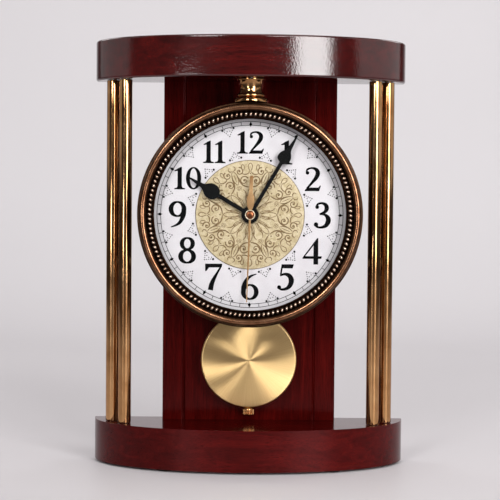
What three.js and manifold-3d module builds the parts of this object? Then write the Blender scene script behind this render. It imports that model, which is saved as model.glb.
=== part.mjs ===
// Bow-fronted mantel clock: two half-oval wooden plates on brass columns, a round quartz clock head
// hung in front of a grooved backboard, and a swinging pendulum. Millimetres, +Z up, front towards -Y.
import * as THREE from 'three';
import { mergeVertices } from 'three/addons/utils/BufferGeometryUtils.js';
import Module from 'manifold-3d';

const wasm = await Module();
wasm.setup();

// Fits
const GAP = 0.3; // air between neighbouring pieces
const PAST = 1; // how far a cut runs past the face that it opens
const MERGE_DISTANCE = 1e-4;

// Facets of round pieces
const RING_SIDES = 56;
const SADDLE_SIDES = 224;
const COLUMN_SIDES = 20;
const ROD_SIDES = 12;
const HEX_SIDES = 6;
const PLATE_CURVE_STEPS = 22;
const HAND_CURVE_STEPS = 6;

// Bow-fronted plates
const PLATE_HALF_WIDTH = 120;
const PLATE_BOW = 68; // depth of the half oval
const PLATE_STRAIGHT = 2; // straight stretch behind the half oval
const PLATE_THICKNESS = 31;
const PLATE_EDGE = 1.8; // rounding of the edges

// Feet under the base
const FOOT_RADIUS = 7;
const FOOT_HEIGHT = 1.5;
const FOOT_MARGIN = 4; // from the foot's rim to the base's edge
const BACK_FOOT_ANGLE = 6; // degrees round the oval from its end
const FRONT_FOOT_ANGLE = 55;

// Brass columns and the bolts inside them
const COLUMN_RADIUS = 5;
const COLUMN_WALL = 1;
const COLUMN_MARGIN = 3.5; // from the column to the plate's edge
const OUTER_COLUMN_ANGLE = 19.7;
const INNER_COLUMN_ANGLE = 31.9;
const BOLT_RADIUS = 2.5;
const BOLT_HEAD_RADIUS = 4.2;
const BOLT_HEAD_HEIGHT = 5;
const BOLT_GRIP = 18; // depth screwed into the top plate
const COUNTERBORE_DEPTH = 7;
const COUNTERBORE_PLAY = 0.5;

// Backboard
const BOARD_HALF_WIDTH = 66.8;
const BOARD_THICKNESS = 12;
const GROOVE_INSET = 16.5; // from the board's edge to the groove
const GROOVE_WIDTH = 2.4;
const GROOVE_DEPTH = 1.4;
const WINDOW_HALF_WIDTH = 38; // service window behind the movement
const WINDOW_ABOVE = 38; // above the dial centre
const WINDOW_BELOW = 46;
const DOWEL_RADIUS = 3;
const DOWEL_REACH = 11; // into the base and into the board
const DOWEL_X = 42;

// Clock head
const SPACE_BELOW_HEAD = 75.4; // base top to the drum's lowest point
const DRUM_RADIUS = 84.3;
const DRUM_WALL = 1.2;
const DIAL_INSET = 1.4; // from the crystal's rim in to the dial's rim
const DIAL_THICKNESS = 0.8;
const CENTRE_DISC_RADIUS = 41;
const CENTRE_DISC_THICKNESS = 0.3;
const CRYSTAL_LAP = 0.5; // how far the crystal reaches under the bead ring
const CRYSTAL_THICKNESS = 1.8;
const FLANGE_LAP = 1.1; // how far the drum's flange reaches under the crystal
const FLANGE_THICKNESS = 1.5;
const BEZEL_SETBACK = 1.7; // from the drum's rim in to the bezel's rim
const BEZEL_DEPTH = 7.6;
const BEZEL_ROLL = 2.6; // radius of the polished outer roll
const GROOVE_RING_WIDTH = 0.8; // dark ring between roll and bead
const GROOVE_RING_DEPTH = 4.2;
const BEAD_RADIUS = 1.75;
const BEAD_DEPTH = 3.6; // bead centre behind the bezel's front
const LIP_LAP = 2.2; // how far the bezel's lip reaches over the crystal
const LIP_THICKNESS = 0.9;
const ARC_STEPS = 4;

// Turned spool between the head and the top plate
const SPOOL_HEIGHT = 17.5;
const SPOOL_FLANGE_RADIUS = 13;
const SPOOL_FLANGE_HEIGHT = 3.4;
const SPOOL_SKIRT = 1.7; // flange below the drum's crown
const SPOOL_STEP = 1.1; // slope from the flange up to the ring
const SPOOL_RING_RADIUS = 10.8;
const SPOOL_RING_HEIGHT = 2;
const SPOOL_NECK_RADIUS = 8.5;
const SPOOL_TOP_RADIUS = 10.5;
const SPOOL_TOP_HEIGHT = 1.3;
const SPOOL_COVE = 1.6; // height of each hollow between the mouldings
const STUD_RADIUS = 2;
const STUD_IN_SPOOL = 9;
const STUD_IN_PLATE = 14;

// Posts that carry the head on the backboard
const POST_RADIUS = 4;
const POST_INSET = 9.5; // from the board's edge
const POST_RISE = 38; // above and below the dial centre
const SCREW_RADIUS = 1.8;
const SCREW_HEAD_RADIUS = 3.6;
const SCREW_HEAD_HEIGHT = 2.4;
const SCREW_SINK = 3; // depth of the recess in the board's back
const SCREW_IN_POST = 10;

// Quartz movement
const PENDULUM_ROOM = 13; // movement cover to the backboard
const CASE_WALL = 1.2;
const COVER_THICKNESS = 1.5;
const BATTERY_RADIUS = 7.1;
const BATTERY_LENGTH = 50.5;
const BATTERY_NUB_RADIUS = 2.6;
const BATTERY_NUB_HEIGHT = 1.4;
const BATTERY_EDGE = 0.6;
const BATTERY_PLAY = 0.8; // round the cell in its bay
const CONTACT_THICKNESS = 0.6;
const CONTACT_HALF_WIDTH = 4.5;
const CONTACT_SPRING_RADIUS = 3;
const CONTACT_ROOM = 3; // from the cell's end to the case wall
const GEAR_ROOM_ABOVE = 13.2;
const GEAR_ROOM_BELOW = 45;
const BUSH_RADIUS = 4;
const BUSH_PROUD = 0.4; // bush end in front of the nut
const NUT_RADIUS = 6.2;
const NUT_THICKNESS = 1.8;

// Gear train
const FIRST_LAYER = 0.6; // first wheel behind the case's front wall
const WHEEL_THICKNESS = 0.8;
const LAYER_STEP = 1.5;
const ARBOR_RADIUS = 0.45;
const TUBE_WALL = 0.7;
const POST_PIN_RADIUS = 0.5;
const TOOTH_TIP = 0.8; // tooth height over the pitch circle, in modules
const TOOTH_ROOT = 1.2; // tooth depth under the pitch circle, in modules
const TOOTH_TIP_SHARE = 0.08; // half widths as a share of the pitch
const TOOTH_ROOT_SHARE = 0.21;
const MOTION_MODULE = 0.4;
const THIRD_MODULE = 0.35;
const SECONDS_MODULE = 0.4;
const ROTOR_MODULE = 0.3;
const CANNON_TEETH = 10;
const MOTION_TEETH = 30;
const MOTION_PINION_TEETH = 8;
const HOUR_TEETH = 32;
const CENTRE_TEETH = 48;
const THIRD_PINION_TEETH = 6;
const THIRD_TEETH = 45;
const SECONDS_PINION_TEETH = 6;
const SECONDS_TEETH = 30;
const MIDDLE_PINION_TEETH = 6;
const MIDDLE_TEETH = 36;
const ROTOR_TEETH = 6;
const SETTING_TEETH = 10;
const ROTOR_MAGNET_RADIUS = 2.8;
const ROTOR_MAGNET_HEIGHT = 1.8;
const SETTING_SHAFT_RADIUS = 1;
const KNOB_RADIUS = 6;
const KNOB_HEIGHT = 4;
const KNOB_CLEARANCE = 0.6;
const KNOB_SIDES = 20;

// Motor and circuit
const STATOR_THICKNESS = 0.8;
const STATOR_MARGIN = 1.5; // metal round the rotor's hole
const STATOR_AIR = 0.5; // from the magnet to the stator
const STATOR_RISE = 10; // top edge above the dial centre
const STATOR_REACH = 13; // rotor hole to the coil leg
const LEG_WIDTH = 5;
const COIL_WALL = 2.2;
const COIL_HEIGHT = 12;
const COIL_RISE = -2.5; // coil centre above the dial centre
const PEG_RADIUS = 0.9;
const BOARD_CIRCUIT_WIDTH = 9;
const BOARD_CIRCUIT_HEIGHT = 24;
const BOARD_CIRCUIT_THICKNESS = 0.8;
const CIRCUIT_PEG_RISE = 8; // pegs above and below the circuit's middle
const BOARD_CIRCUIT_EDGE = 0.8; // from the case wall

// Hands
const HAND_THICKNESS = 0.6;
const HAND_SPACE = 0.5;
const TUBE_PROUD = 0.2;
const HAND_POINT_HALF_WIDTH = 0.4;
const HOUR_ANGLE = 301; // degrees clockwise from twelve
const HOUR_HUB_RADIUS = 6.5;
const HOUR_STEM_HALF_WIDTH = 1.5;
const HOUR_SPADE_START = 28.2; // heights along the hand, from the hub
const HOUR_SPADE_WIDEST = 33.9;
const HOUR_SPADE_HALF_WIDTH = 5.8;
const HOUR_WAIST = 43.7;
const HOUR_WAIST_HALF_WIDTH = 1.6;
const HOUR_TIP = 54.9;
const MINUTE_ANGLE = 30.5;
const MINUTE_HUB_RADIUS = 5.4;
const MINUTE_STEM_HALF_WIDTH = 1.4;
const MINUTE_SPADE_START = 45.9;
const MINUTE_SPADE_WIDEST = 49.2;
const MINUTE_SPADE_HALF_WIDTH = 5;
const MINUTE_WAIST = 59;
const MINUTE_WAIST_HALF_WIDTH = 1.5;
const MINUTE_TIP = 69.2;
const SECOND_ANGLE = 181.8;
const SECOND_TIP = 65.5;
const SECOND_HALF_WIDTH = 0.4;
const SECOND_NECK_HALF_WIDTH = 0.8;
const SECOND_BULGE = 11.1; // heights along the tail, from the hub
const SECOND_BULGE_HALF_WIDTH = 2.9;
const SECOND_WAIST = 18;
const SECOND_TAIL_HALF_WIDTH = 1.3;
const SECOND_TAIL = 29.2;
const CAP_RADIUS = 3.8;
const CAP_HEIGHT = 1.4;
const CAP_SOCKET = 0.7; // how far the seconds arbor reaches into the cap
const CAP_CROWN = 0.5;
const CRYSTAL_CLEARANCE = 1;

// Pendulum
const PIVOT_DROP = 18; // pivot below the dial centre
const PIVOT_RADIUS = 1;
const HANGER_THICKNESS = 4.8;
const HANGER_CLEARANCE = 0.6;
const HANGER_HEAD_RADIUS = 4;
const HANGER_STEM_HALF_WIDTH = 3;
const HANGER_LENGTH = 26;
const ROD_SOCKET = 9; // rod length held in the hanger
const MAGNET_DROP = 10; // magnet below the pivot
const MAGNET_RADIUS = 2.6;
const MAGNET_RIM = 2.2;
const DRIVE_COIL_RADIUS = 6.5;
const DRIVE_COIL_BORE = 2.4;
const DRIVE_COIL_HEIGHT = 4;
const ROD_RADIUS = 1.2;
const ROD_PROUD = 0.8; // thread below the nut
const BOB_RADIUS = 36.8;
const BOB_THICKNESS = 4.4;
const BOB_BEVEL = 1.8;
const BOB_CROWN = 0.8;
const BOB_WALL = 1.2;
const SLEEVE_WALL = 0.6; // round the rod, across the bob's hollow back
const BOB_SIDES = 48;
const RATING_NUT_RADIUS = 4.3;
const RATING_NUT_HEIGHT = 5.2;
const RATING_NUT_EDGE = 0.6;
const RATING_NUT_CLEARANCE = 5.2; // above the base
const RATING_NUT_SIDES = 18;

// Radii of the head, from the drum's rim inwards
const BEZEL_RIM = DRUM_RADIUS - BEZEL_SETBACK;
const ROLL_RING = BEZEL_RIM - BEZEL_ROLL;
const GROOVE_OUTER = ROLL_RING - BEZEL_ROLL;
const GROOVE_INNER = GROOVE_OUTER - GROOVE_RING_WIDTH;
const BEAD_RING = GROOVE_INNER - BEAD_RADIUS;
const CRYSTAL_RADIUS = BEAD_RING - BEAD_RADIUS + CRYSTAL_LAP;
const DIAL_RADIUS = CRYSTAL_RADIUS - DIAL_INSET;

// Heights
const BASE_BOTTOM = FOOT_HEIGHT + GAP;
const BASE_TOP = BASE_BOTTOM + PLATE_THICKNESS;
const HEAD_Z = BASE_TOP + SPACE_BELOW_HEAD + DRUM_RADIUS;
const TOP_UNDERSIDE = HEAD_Z + DRUM_RADIUS + SPOOL_HEIGHT;
const PIVOT_Z = -PIVOT_DROP;
const NUT_BOTTOM_Z = BASE_TOP + RATING_NUT_CLEARANCE;
const BOB_Z = NUT_BOTTOM_Z + RATING_NUT_HEIGHT + GAP + BOB_RADIUS;

// Depths, from the back of the plates forward
const BACK_Y = (PLATE_BOW + PLATE_STRAIGHT) / 2;
const OVAL_Y = BACK_Y - PLATE_STRAIGHT;
const BOARD_FRONT = BACK_Y - BOARD_THICKNESS;
const BOARD_MIDDLE = BACK_Y - BOARD_THICKNESS / 2;
const COVER_BACK = BOARD_FRONT - PENDULUM_ROOM;
const COVER_FRONT = COVER_BACK - COVER_THICKNESS;
const INNER_FRONT = COVER_FRONT - 2 * (BATTERY_RADIUS + BATTERY_PLAY);
const CASE_FRONT = INNER_FRONT - CASE_WALL;
const DRUM_BACK = CASE_FRONT - GAP;
const DRUM_FLOOR = DRUM_BACK - DRUM_WALL;
const DIAL_BACK = DRUM_FLOOR - GAP;
const DIAL_FRONT = DIAL_BACK - DIAL_THICKNESS;
const CENTRE_DISC_BACK = DIAL_FRONT - GAP;
const CENTRE_DISC_FRONT = CENTRE_DISC_BACK - CENTRE_DISC_THICKNESS;
const NUT_BACK = CENTRE_DISC_FRONT - GAP;
const NUT_FRONT = NUT_BACK - NUT_THICKNESS;
const BUSH_FRONT = NUT_FRONT - BUSH_PROUD;
const HOUR_BACK = BUSH_FRONT - HAND_SPACE;
const HOUR_FRONT = HOUR_BACK - HAND_THICKNESS;
const MINUTE_BACK = HOUR_FRONT - TUBE_PROUD - HAND_SPACE;
const MINUTE_FRONT = MINUTE_BACK - HAND_THICKNESS;
const SECOND_BACK = MINUTE_FRONT - TUBE_PROUD - HAND_SPACE;
const CAP_FRONT = SECOND_BACK - CAP_HEIGHT;
const SECOND_ARBOR_FRONT = SECOND_BACK - CAP_SOCKET;
const CRYSTAL_BACK = CAP_FRONT - CRYSTAL_CLEARANCE;
const CRYSTAL_FRONT = CRYSTAL_BACK - CRYSTAL_THICKNESS;
const DRUM_FRONT = CRYSTAL_BACK + GAP;
const BEZEL_BACK = DRUM_FRONT - GAP;
const SPOOL_Y = (DRUM_FRONT + DRUM_BACK) / 2;
const PENDULUM_Y = COVER_BACK + HANGER_CLEARANCE + HANGER_THICKNESS / 2;

// Finishes
const MAHOGANY = { color: 0x4c0f10, roughness: 0.28, metalness: 0 };
const BRASS = { color: 0xb98a4a, roughness: 0.22, metalness: 1 };
const SATIN_BRASS = { color: 0xc9a45c, roughness: 0.38, metalness: 1 };
const COPPER = { color: 0x7a4a30, roughness: 0.3, metalness: 1 };
const STEEL = { color: 0x9a9da1, roughness: 0.4, metalness: 1 };
const BEECH = { color: 0xb98d5c, roughness: 0.7, metalness: 0 };
const RUBBER = { color: 0x22201f, roughness: 0.9, metalness: 0 };
const GLASS = { color: 0xf2f6f5, roughness: 0.03, metalness: 0, transparent: true, opacity: 0.2 };
const WHITE_ENAMEL = { color: 0xf1eef0, roughness: 0.45, metalness: 0 };
const PALE_GOLD = { color: 0xd8c596, roughness: 0.45, metalness: 0.3 };
const BLACK_LACQUER = { color: 0x0b0b0c, roughness: 0.35, metalness: 0 };
const BLACK_PLASTIC = { color: 0x1b1b1d, roughness: 0.6, metalness: 0 };
const WHITE_PLASTIC = { color: 0xe6e3da, roughness: 0.55, metalness: 0 };
const COIL_WIRE = { color: 0xa4552a, roughness: 0.35, metalness: 0.9 };
const CIRCUIT_GREEN = { color: 0x2b5d3a, roughness: 0.5, metalness: 0 };
const CELL_SLEEVE = { color: 0x3d4a57, roughness: 0.4, metalness: 0.4 };

// Makes a closed body of a geometry, with shared corners and its faces pointing out
function solidOf(geometry) {
  const bare = geometry.index ? geometry.toNonIndexed() : geometry.clone();
  bare.deleteAttribute('normal');
  bare.deleteAttribute('uv');
  const merged = mergeVertices(bare, MERGE_DISTANCE);
  const corners = merged.getIndex().array;
  const points = merged.getAttribute('position');
  const triangles = [];
  let volume = 0;
  const [a, b, c] = [new THREE.Vector3(), new THREE.Vector3(), new THREE.Vector3()];
  for (let i = 0; i < corners.length; i += 3) {
    const [p, q, r] = [corners[i], corners[i + 1], corners[i + 2]];
    if (p === q || q === r || r === p) continue;
    triangles.push(p, q, r);
    a.fromBufferAttribute(points, p);
    b.fromBufferAttribute(points, q);
    c.fromBufferAttribute(points, r);
    volume += a.dot(b.cross(c));
  }
  if (volume < 0) triangles.reverse();
  const mesh = new wasm.Mesh({
    numProp: 3,
    vertProperties: Float32Array.from(points.array),
    triVerts: Uint32Array.from(triangles),
  });
  return new wasm.Manifold(mesh);
}

// Turns a body back into a geometry
function geometryOf(solid) {
  const mesh = solid.getMesh();
  const geometry = new THREE.BufferGeometry();
  geometry.setAttribute('position', new THREE.BufferAttribute(mesh.vertProperties, mesh.numProp));
  geometry.setIndex(new THREE.BufferAttribute(mesh.triVerts, 1));
  geometry.computeVertexNormals();
  return geometry;
}

// Adds a named piece to a group
function addPiece(group, name, solid, finish, x = 0, y = 0, z = 0) {
  const mesh = new THREE.Mesh(geometryOf(solid), new THREE.MeshStandardMaterial(finish));
  mesh.name = name;
  mesh.position.set(x, y, z);
  group.add(mesh);
}

// Joins bodies into one
function join(first, ...others) {
  return others.reduce((whole, other) => whole.add(other), first);
}

// Cuts bodies out of one
function cut(first, ...others) {
  return others.reduce((whole, other) => whole.subtract(other), first);
}

// A box between two corners
function block(x0, x1, y0, y1, z0, z1) {
  const geometry = new THREE.BoxGeometry(x1 - x0, y1 - y0, z1 - z0);
  geometry.translate((x0 + x1) / 2, (y0 + y1) / 2, (z0 + z1) / 2);
  return solidOf(geometry);
}

// A round bar along Y
function barY(radius, front, back, x = 0, z = 0, sides = ROD_SIDES) {
  const geometry = new THREE.CylinderGeometry(radius, radius, back - front, sides);
  geometry.translate(x, (front + back) / 2, z);
  return solidOf(geometry);
}

// A round upright bar
function barZ(radius, bottom, top, x = 0, y = 0, sides = ROD_SIDES) {
  const geometry = new THREE.CylinderGeometry(radius, radius, top - bottom, sides);
  geometry.rotateX(Math.PI / 2);
  geometry.translate(x, y, (bottom + top) / 2);
  return solidOf(geometry);
}

// A profile of [radius, y] corners turned about Y
function turnedY(profile, sides = RING_SIDES) {
  const points = profile.map(([radius, along]) => new THREE.Vector2(radius, along));
  return solidOf(new THREE.LatheGeometry(points, sides));
}

// A profile of [radius, z] corners turned about Z
function turnedZ(profile, sides = RING_SIDES) {
  const points = profile.map(([radius, along]) => new THREE.Vector2(radius, along));
  const geometry = new THREE.LatheGeometry(points, sides);
  geometry.rotateX(Math.PI / 2);
  return solidOf(geometry);
}

// A flat ring or disc facing the front
function ringY(outer, inner, front, back, sides = RING_SIDES) {
  const profile = [[inner, front], [outer, front], [outer, back], [inner, back], [inner, front]];
  return turnedY(profile, sides);
}

// An outline in x and z, as seen from the front, given a depth
function facing(shape, front, back, curveSegments = HAND_CURVE_STEPS) {
  const depth = back - front;
  const geometry = new THREE.ExtrudeGeometry(shape, { depth, bevelEnabled: false, curveSegments });
  geometry.rotateX(Math.PI / 2);
  geometry.translate(0, back, 0);
  return solidOf(geometry);
}

// The same body turned clockwise about Y by degrees, as seen from the front
function turnedHand(solid, degrees) {
  const geometry = geometryOf(solid);
  geometry.rotateY(THREE.MathUtils.degToRad(degrees));
  return solidOf(geometry);
}

// Corners of an arc from one angle to another, in degrees, for a turned profile
function arc(radius, along, size, from, to) {
  const corners = [];
  for (let i = 0; i <= ARC_STEPS; i += 1) {
    const angle = THREE.MathUtils.degToRad(from + ((to - from) * i) / ARC_STEPS);
    corners.push([radius + size * Math.cos(angle), along + size * Math.sin(angle)]);
  }
  return corners;
}

// A point on the plate's oval, moved in from its edge
function onOval(angle, inset, side) {
  const turn = THREE.MathUtils.degToRad(angle);
  const x = side * (PLATE_HALF_WIDTH - inset) * Math.cos(turn);
  const y = OVAL_Y - (PLATE_BOW - inset) * Math.sin(turn);
  return [x, y];
}

// Places that several pieces share
const SIDES = [['left', -1], ['right', 1]];
const COLUMN_INSET = COLUMN_RADIUS + COLUMN_MARGIN;
const COLUMN_ANGLES = [['outer', OUTER_COLUMN_ANGLE], ['inner', INNER_COLUMN_ANGLE]];
const COLUMN_PLACES = SIDES.flatMap(([sideName, side]) => COLUMN_ANGLES.map(([rowName, angle]) => {
  const [x, y] = onOval(angle, COLUMN_INSET, side);
  return { name: `${sideName}_${rowName}`, x, y };
}));
const POST_X = BOARD_HALF_WIDTH - POST_INSET;
const POST_LEVELS = [['upper', POST_RISE], ['lower', -POST_RISE]];
const POST_PLACES = SIDES.flatMap(([sideName, side]) => POST_LEVELS.map(([levelName, rise]) => (
  { name: `${levelName}_${sideName}`, x: side * POST_X, z: rise }
)));

// Wooden plates
function plateBlank(bottom) {
  const shape = new THREE.Shape();
  shape.moveTo(-PLATE_HALF_WIDTH, BACK_Y);
  shape.lineTo(-PLATE_HALF_WIDTH, OVAL_Y);
  shape.absellipse(0, OVAL_Y, PLATE_HALF_WIDTH, PLATE_BOW, Math.PI, 2 * Math.PI, false);
  shape.lineTo(PLATE_HALF_WIDTH, BACK_Y);
  shape.closePath();
  const geometry = new THREE.ExtrudeGeometry(shape, {
    depth: PLATE_THICKNESS - 2 * PLATE_EDGE,
    bevelThickness: PLATE_EDGE,
    bevelSize: PLATE_EDGE,
    bevelOffset: -PLATE_EDGE,
    bevelSegments: 2,
    curveSegments: PLATE_CURVE_STEPS,
  });
  geometry.translate(0, 0, bottom + PLATE_EDGE);
  return solidOf(geometry);
}

function addPlates(group) {
  let base = plateBlank(BASE_BOTTOM);
  let top = plateBlank(TOP_UNDERSIDE);
  const boltTop = TOP_UNDERSIDE + BOLT_GRIP + GAP;
  for (const { x, y } of COLUMN_PLACES) {
    const hole = barZ(BOLT_RADIUS + GAP, BASE_BOTTOM - PAST, boltTop, x, y);
    const sink = BOLT_HEAD_RADIUS + COUNTERBORE_PLAY;
    const counterbore = barZ(sink, BASE_BOTTOM - PAST, BASE_BOTTOM + COUNTERBORE_DEPTH, x, y);
    base = cut(base, hole, counterbore);
    top = cut(top, hole);
  }
  const dowelFloor = BASE_TOP - DOWEL_REACH - GAP;
  for (const [, side] of SIDES) {
    base = cut(base, barZ(DOWEL_RADIUS + GAP, dowelFloor, BASE_TOP + PAST, side * DOWEL_X, BOARD_MIDDLE));
  }
  const studTop = TOP_UNDERSIDE + STUD_IN_PLATE + GAP;
  top = cut(top, barZ(STUD_RADIUS + GAP, TOP_UNDERSIDE - PAST, studTop, 0, SPOOL_Y));
  addPiece(group, 'base_plate', base, MAHOGANY);
  addPiece(group, 'top_plate', top, MAHOGANY);
}

// Feet
function addFeet(group) {
  const angles = [['back', BACK_FOOT_ANGLE], ['front', FRONT_FOOT_ANGLE]];
  for (const [sideName, side] of SIDES) {
    for (const [rowName, angle] of angles) {
      const [x, y] = onOval(angle, FOOT_RADIUS + FOOT_MARGIN, side);
      const foot = barZ(FOOT_RADIUS, 0, FOOT_HEIGHT, x, y, COLUMN_SIDES);
      addPiece(group, `foot_${rowName}_${sideName}`, foot, RUBBER);
    }
  }
}

// Columns and their bolts
function addColumns(group) {
  const bottom = BASE_TOP + GAP;
  const top = TOP_UNDERSIDE - GAP;
  const inner = COLUMN_RADIUS - COLUMN_WALL;
  const tube = turnedZ(
    [[inner, bottom], [COLUMN_RADIUS, bottom], [COLUMN_RADIUS, top], [inner, top], [inner, bottom]],
    COLUMN_SIDES,
  );
  const headTop = BASE_BOTTOM + COUNTERBORE_DEPTH - GAP;
  const headBottom = headTop - BOLT_HEAD_HEIGHT;
  const boltTop = TOP_UNDERSIDE + BOLT_GRIP;
  const bolt = turnedZ(
    [[0, headBottom], [BOLT_HEAD_RADIUS, headBottom], [BOLT_HEAD_RADIUS, headTop], [BOLT_RADIUS, headTop],
      [BOLT_RADIUS, boltTop], [0, boltTop]],
    ROD_SIDES,
  );
  for (const { name, x, y } of COLUMN_PLACES) {
    addPiece(group, `column_${name}`, tube, BRASS, x, y);
    addPiece(group, `tie_bolt_${name}`, bolt, STEEL, x, y);
  }
}

// Grooved backboard and its dowels
function addBackboard(group) {
  const bottom = BASE_TOP + GAP;
  const top = TOP_UNDERSIDE - GAP;
  let board = block(-BOARD_HALF_WIDTH, BOARD_HALF_WIDTH, BOARD_FRONT, BACK_Y, bottom, top);
  const dowelTop = BASE_TOP + DOWEL_REACH;
  for (const [sideName, side] of SIDES) {
    const x = side * (BOARD_HALF_WIDTH - GROOVE_INSET);
    const dowelX = side * DOWEL_X;
    const groove = new THREE.Shape();
    groove.moveTo(x - GROOVE_WIDTH / 2, BOARD_FRONT - GAP);
    groove.lineTo(x + GROOVE_WIDTH / 2, BOARD_FRONT - GAP);
    groove.lineTo(x, BOARD_FRONT + GROOVE_DEPTH);
    groove.closePath();
    const wedge = new THREE.ExtrudeGeometry(groove, { depth: top - bottom + 2 * PAST, bevelEnabled: false });
    wedge.translate(0, 0, bottom - PAST);
    const dowelHole = barZ(DOWEL_RADIUS + GAP, bottom - PAST, dowelTop + GAP, dowelX, BOARD_MIDDLE);
    board = cut(board, solidOf(wedge), dowelHole);
    const dowel = barZ(DOWEL_RADIUS, BASE_TOP - DOWEL_REACH, dowelTop, dowelX, BOARD_MIDDLE);
    addPiece(group, `board_dowel_${sideName}`, dowel, BEECH);
  }
  const windowCut = block(
    -WINDOW_HALF_WIDTH, WINDOW_HALF_WIDTH, BOARD_FRONT - PAST, BACK_Y + PAST,
    HEAD_Z - WINDOW_BELOW, HEAD_Z + WINDOW_ABOVE,
  );
  board = cut(board, windowCut);
  for (const { x, z } of POST_PLACES) {
    const hole = barY(SCREW_RADIUS + GAP, BOARD_FRONT - PAST, BACK_Y + PAST, x, HEAD_Z + z);
    const sink = barY(SCREW_HEAD_RADIUS + GAP, BACK_Y - SCREW_SINK, BACK_Y + PAST, x, HEAD_Z + z);
    board = cut(board, hole, sink);
  }
  addPiece(group, 'backboard', board, MAHOGANY);
}

// Posts and screws between the head and the backboard
function addPosts(head) {
  const front = DRUM_BACK + GAP;
  const back = BOARD_FRONT - GAP;
  const screwTip = back - SCREW_IN_POST;
  const headFront = BACK_Y - SCREW_SINK + GAP;
  const post = cut(barY(POST_RADIUS, front, back), barY(SCREW_RADIUS + GAP, screwTip - GAP, back + PAST));
  const screw = turnedY(
    [[0, screwTip], [SCREW_RADIUS, screwTip], [SCREW_RADIUS, headFront], [SCREW_HEAD_RADIUS, headFront],
      [SCREW_HEAD_RADIUS, headFront + SCREW_HEAD_HEIGHT], [0, headFront + SCREW_HEAD_HEIGHT]],
    ROD_SIDES,
  );
  for (const { name, x, z } of POST_PLACES) {
    addPiece(head, `head_post_${name}`, post, STEEL, x, 0, z);
    addPiece(head, `post_screw_${name}`, screw, STEEL, x, 0, z);
  }
}

// Turned spool on top of the head, with its stud
function addSpool(head) {
  const seat = DRUM_RADIUS + GAP;
  const bottom = seat - SPOOL_SKIRT;
  const top = DRUM_RADIUS + SPOOL_HEIGHT - GAP;
  const flangeTop = seat + SPOOL_FLANGE_HEIGHT;
  const ringTop = flangeTop + SPOOL_RING_HEIGHT;
  const blank = turnedZ(
    [[0, bottom], [SPOOL_FLANGE_RADIUS, bottom], [SPOOL_FLANGE_RADIUS, flangeTop - SPOOL_STEP],
      [SPOOL_RING_RADIUS, flangeTop], [SPOOL_RING_RADIUS, ringTop],
      [SPOOL_NECK_RADIUS, ringTop + SPOOL_COVE],
      [SPOOL_NECK_RADIUS, top - SPOOL_TOP_HEIGHT - SPOOL_COVE], [SPOOL_TOP_RADIUS, top - SPOOL_TOP_HEIGHT],
      [SPOOL_TOP_RADIUS, top], [0, top]],
    COLUMN_SIDES,
  );
  const saddle = barY(seat, -SPOOL_FLANGE_RADIUS - PAST, SPOOL_FLANGE_RADIUS + PAST, 0, 0, SADDLE_SIDES);
  const bore = barZ(STUD_RADIUS + GAP, top - STUD_IN_SPOOL - GAP, top + PAST);
  addPiece(head, 'spool', cut(blank, saddle, bore), BRASS, 0, SPOOL_Y);
  const stud = barZ(STUD_RADIUS, top - STUD_IN_SPOOL, top + GAP + STUD_IN_PLATE);
  addPiece(head, 'spool_stud', stud, STEEL, 0, SPOOL_Y);
}

// Drum, bezel, crystal and dial
function addHead(head) {
  const drumInner = DRUM_RADIUS - DRUM_WALL;
  const flangeInner = CRYSTAL_RADIUS - FLANGE_LAP;
  const flangeBack = DRUM_FRONT + FLANGE_THICKNESS;
  const bushHole = BUSH_RADIUS + GAP;
  const drum = turnedY(
    [[bushHole, DRUM_BACK], [DRUM_RADIUS, DRUM_BACK], [DRUM_RADIUS, DRUM_FRONT], [flangeInner, DRUM_FRONT],
      [flangeInner, flangeBack], [drumInner, flangeBack], [drumInner, DRUM_FLOOR], [bushHole, DRUM_FLOOR],
      [bushHole, DRUM_BACK]],
  );
  addPiece(head, 'head_drum', drum, COPPER);

  const front = BEZEL_BACK - BEZEL_DEPTH;
  const rabbet = CRYSTAL_RADIUS + GAP;
  const rabbetFloor = CRYSTAL_FRONT - GAP;
  const lip = CRYSTAL_RADIUS - LIP_LAP;
  const grooveFloor = front + GROOVE_RING_DEPTH;
  const bezel = turnedY([
    [rabbet, BEZEL_BACK],
    [BEZEL_RIM, BEZEL_BACK],
    ...arc(ROLL_RING, front + BEZEL_ROLL, BEZEL_ROLL, 0, -180),
    [GROOVE_OUTER, grooveFloor],
    [GROOVE_INNER, grooveFloor],
    ...arc(BEAD_RING, front + BEAD_DEPTH, BEAD_RADIUS, 0, -180),
    [lip, rabbetFloor - LIP_THICKNESS],
    [lip, rabbetFloor],
    [rabbet, rabbetFloor],
    [rabbet, BEZEL_BACK],
  ]);
  addPiece(head, 'bezel', bezel, COPPER);
  addPiece(head, 'crystal', barY(CRYSTAL_RADIUS, CRYSTAL_FRONT, CRYSTAL_BACK, 0, 0, RING_SIDES), GLASS);
  const centreHole = barY(bushHole, CENTRE_DISC_FRONT - PAST, DRUM_BACK + PAST, 0, 0, COLUMN_SIDES);
  const dial = barY(DIAL_RADIUS, DIAL_FRONT, DIAL_BACK, 0, 0, RING_SIDES);
  addPiece(head, 'dial', cut(dial, centreHole), WHITE_ENAMEL);
  const disc = barY(CENTRE_DISC_RADIUS, CENTRE_DISC_FRONT, CENTRE_DISC_BACK, 0, 0, RING_SIDES);
  addPiece(head, 'dial_centre_disc', cut(disc, centreHole), PALE_GOLD);
}

// Tube radii from the seconds arbor outwards
const MINUTE_BORE = ARBOR_RADIUS + GAP;
const MINUTE_TUBE = MINUTE_BORE + TUBE_WALL;
const HOUR_BORE = MINUTE_TUBE + GAP;
const HOUR_TUBE = HOUR_BORE + TUBE_WALL;
const BUSH_BORE = HOUR_TUBE + GAP;

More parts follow.
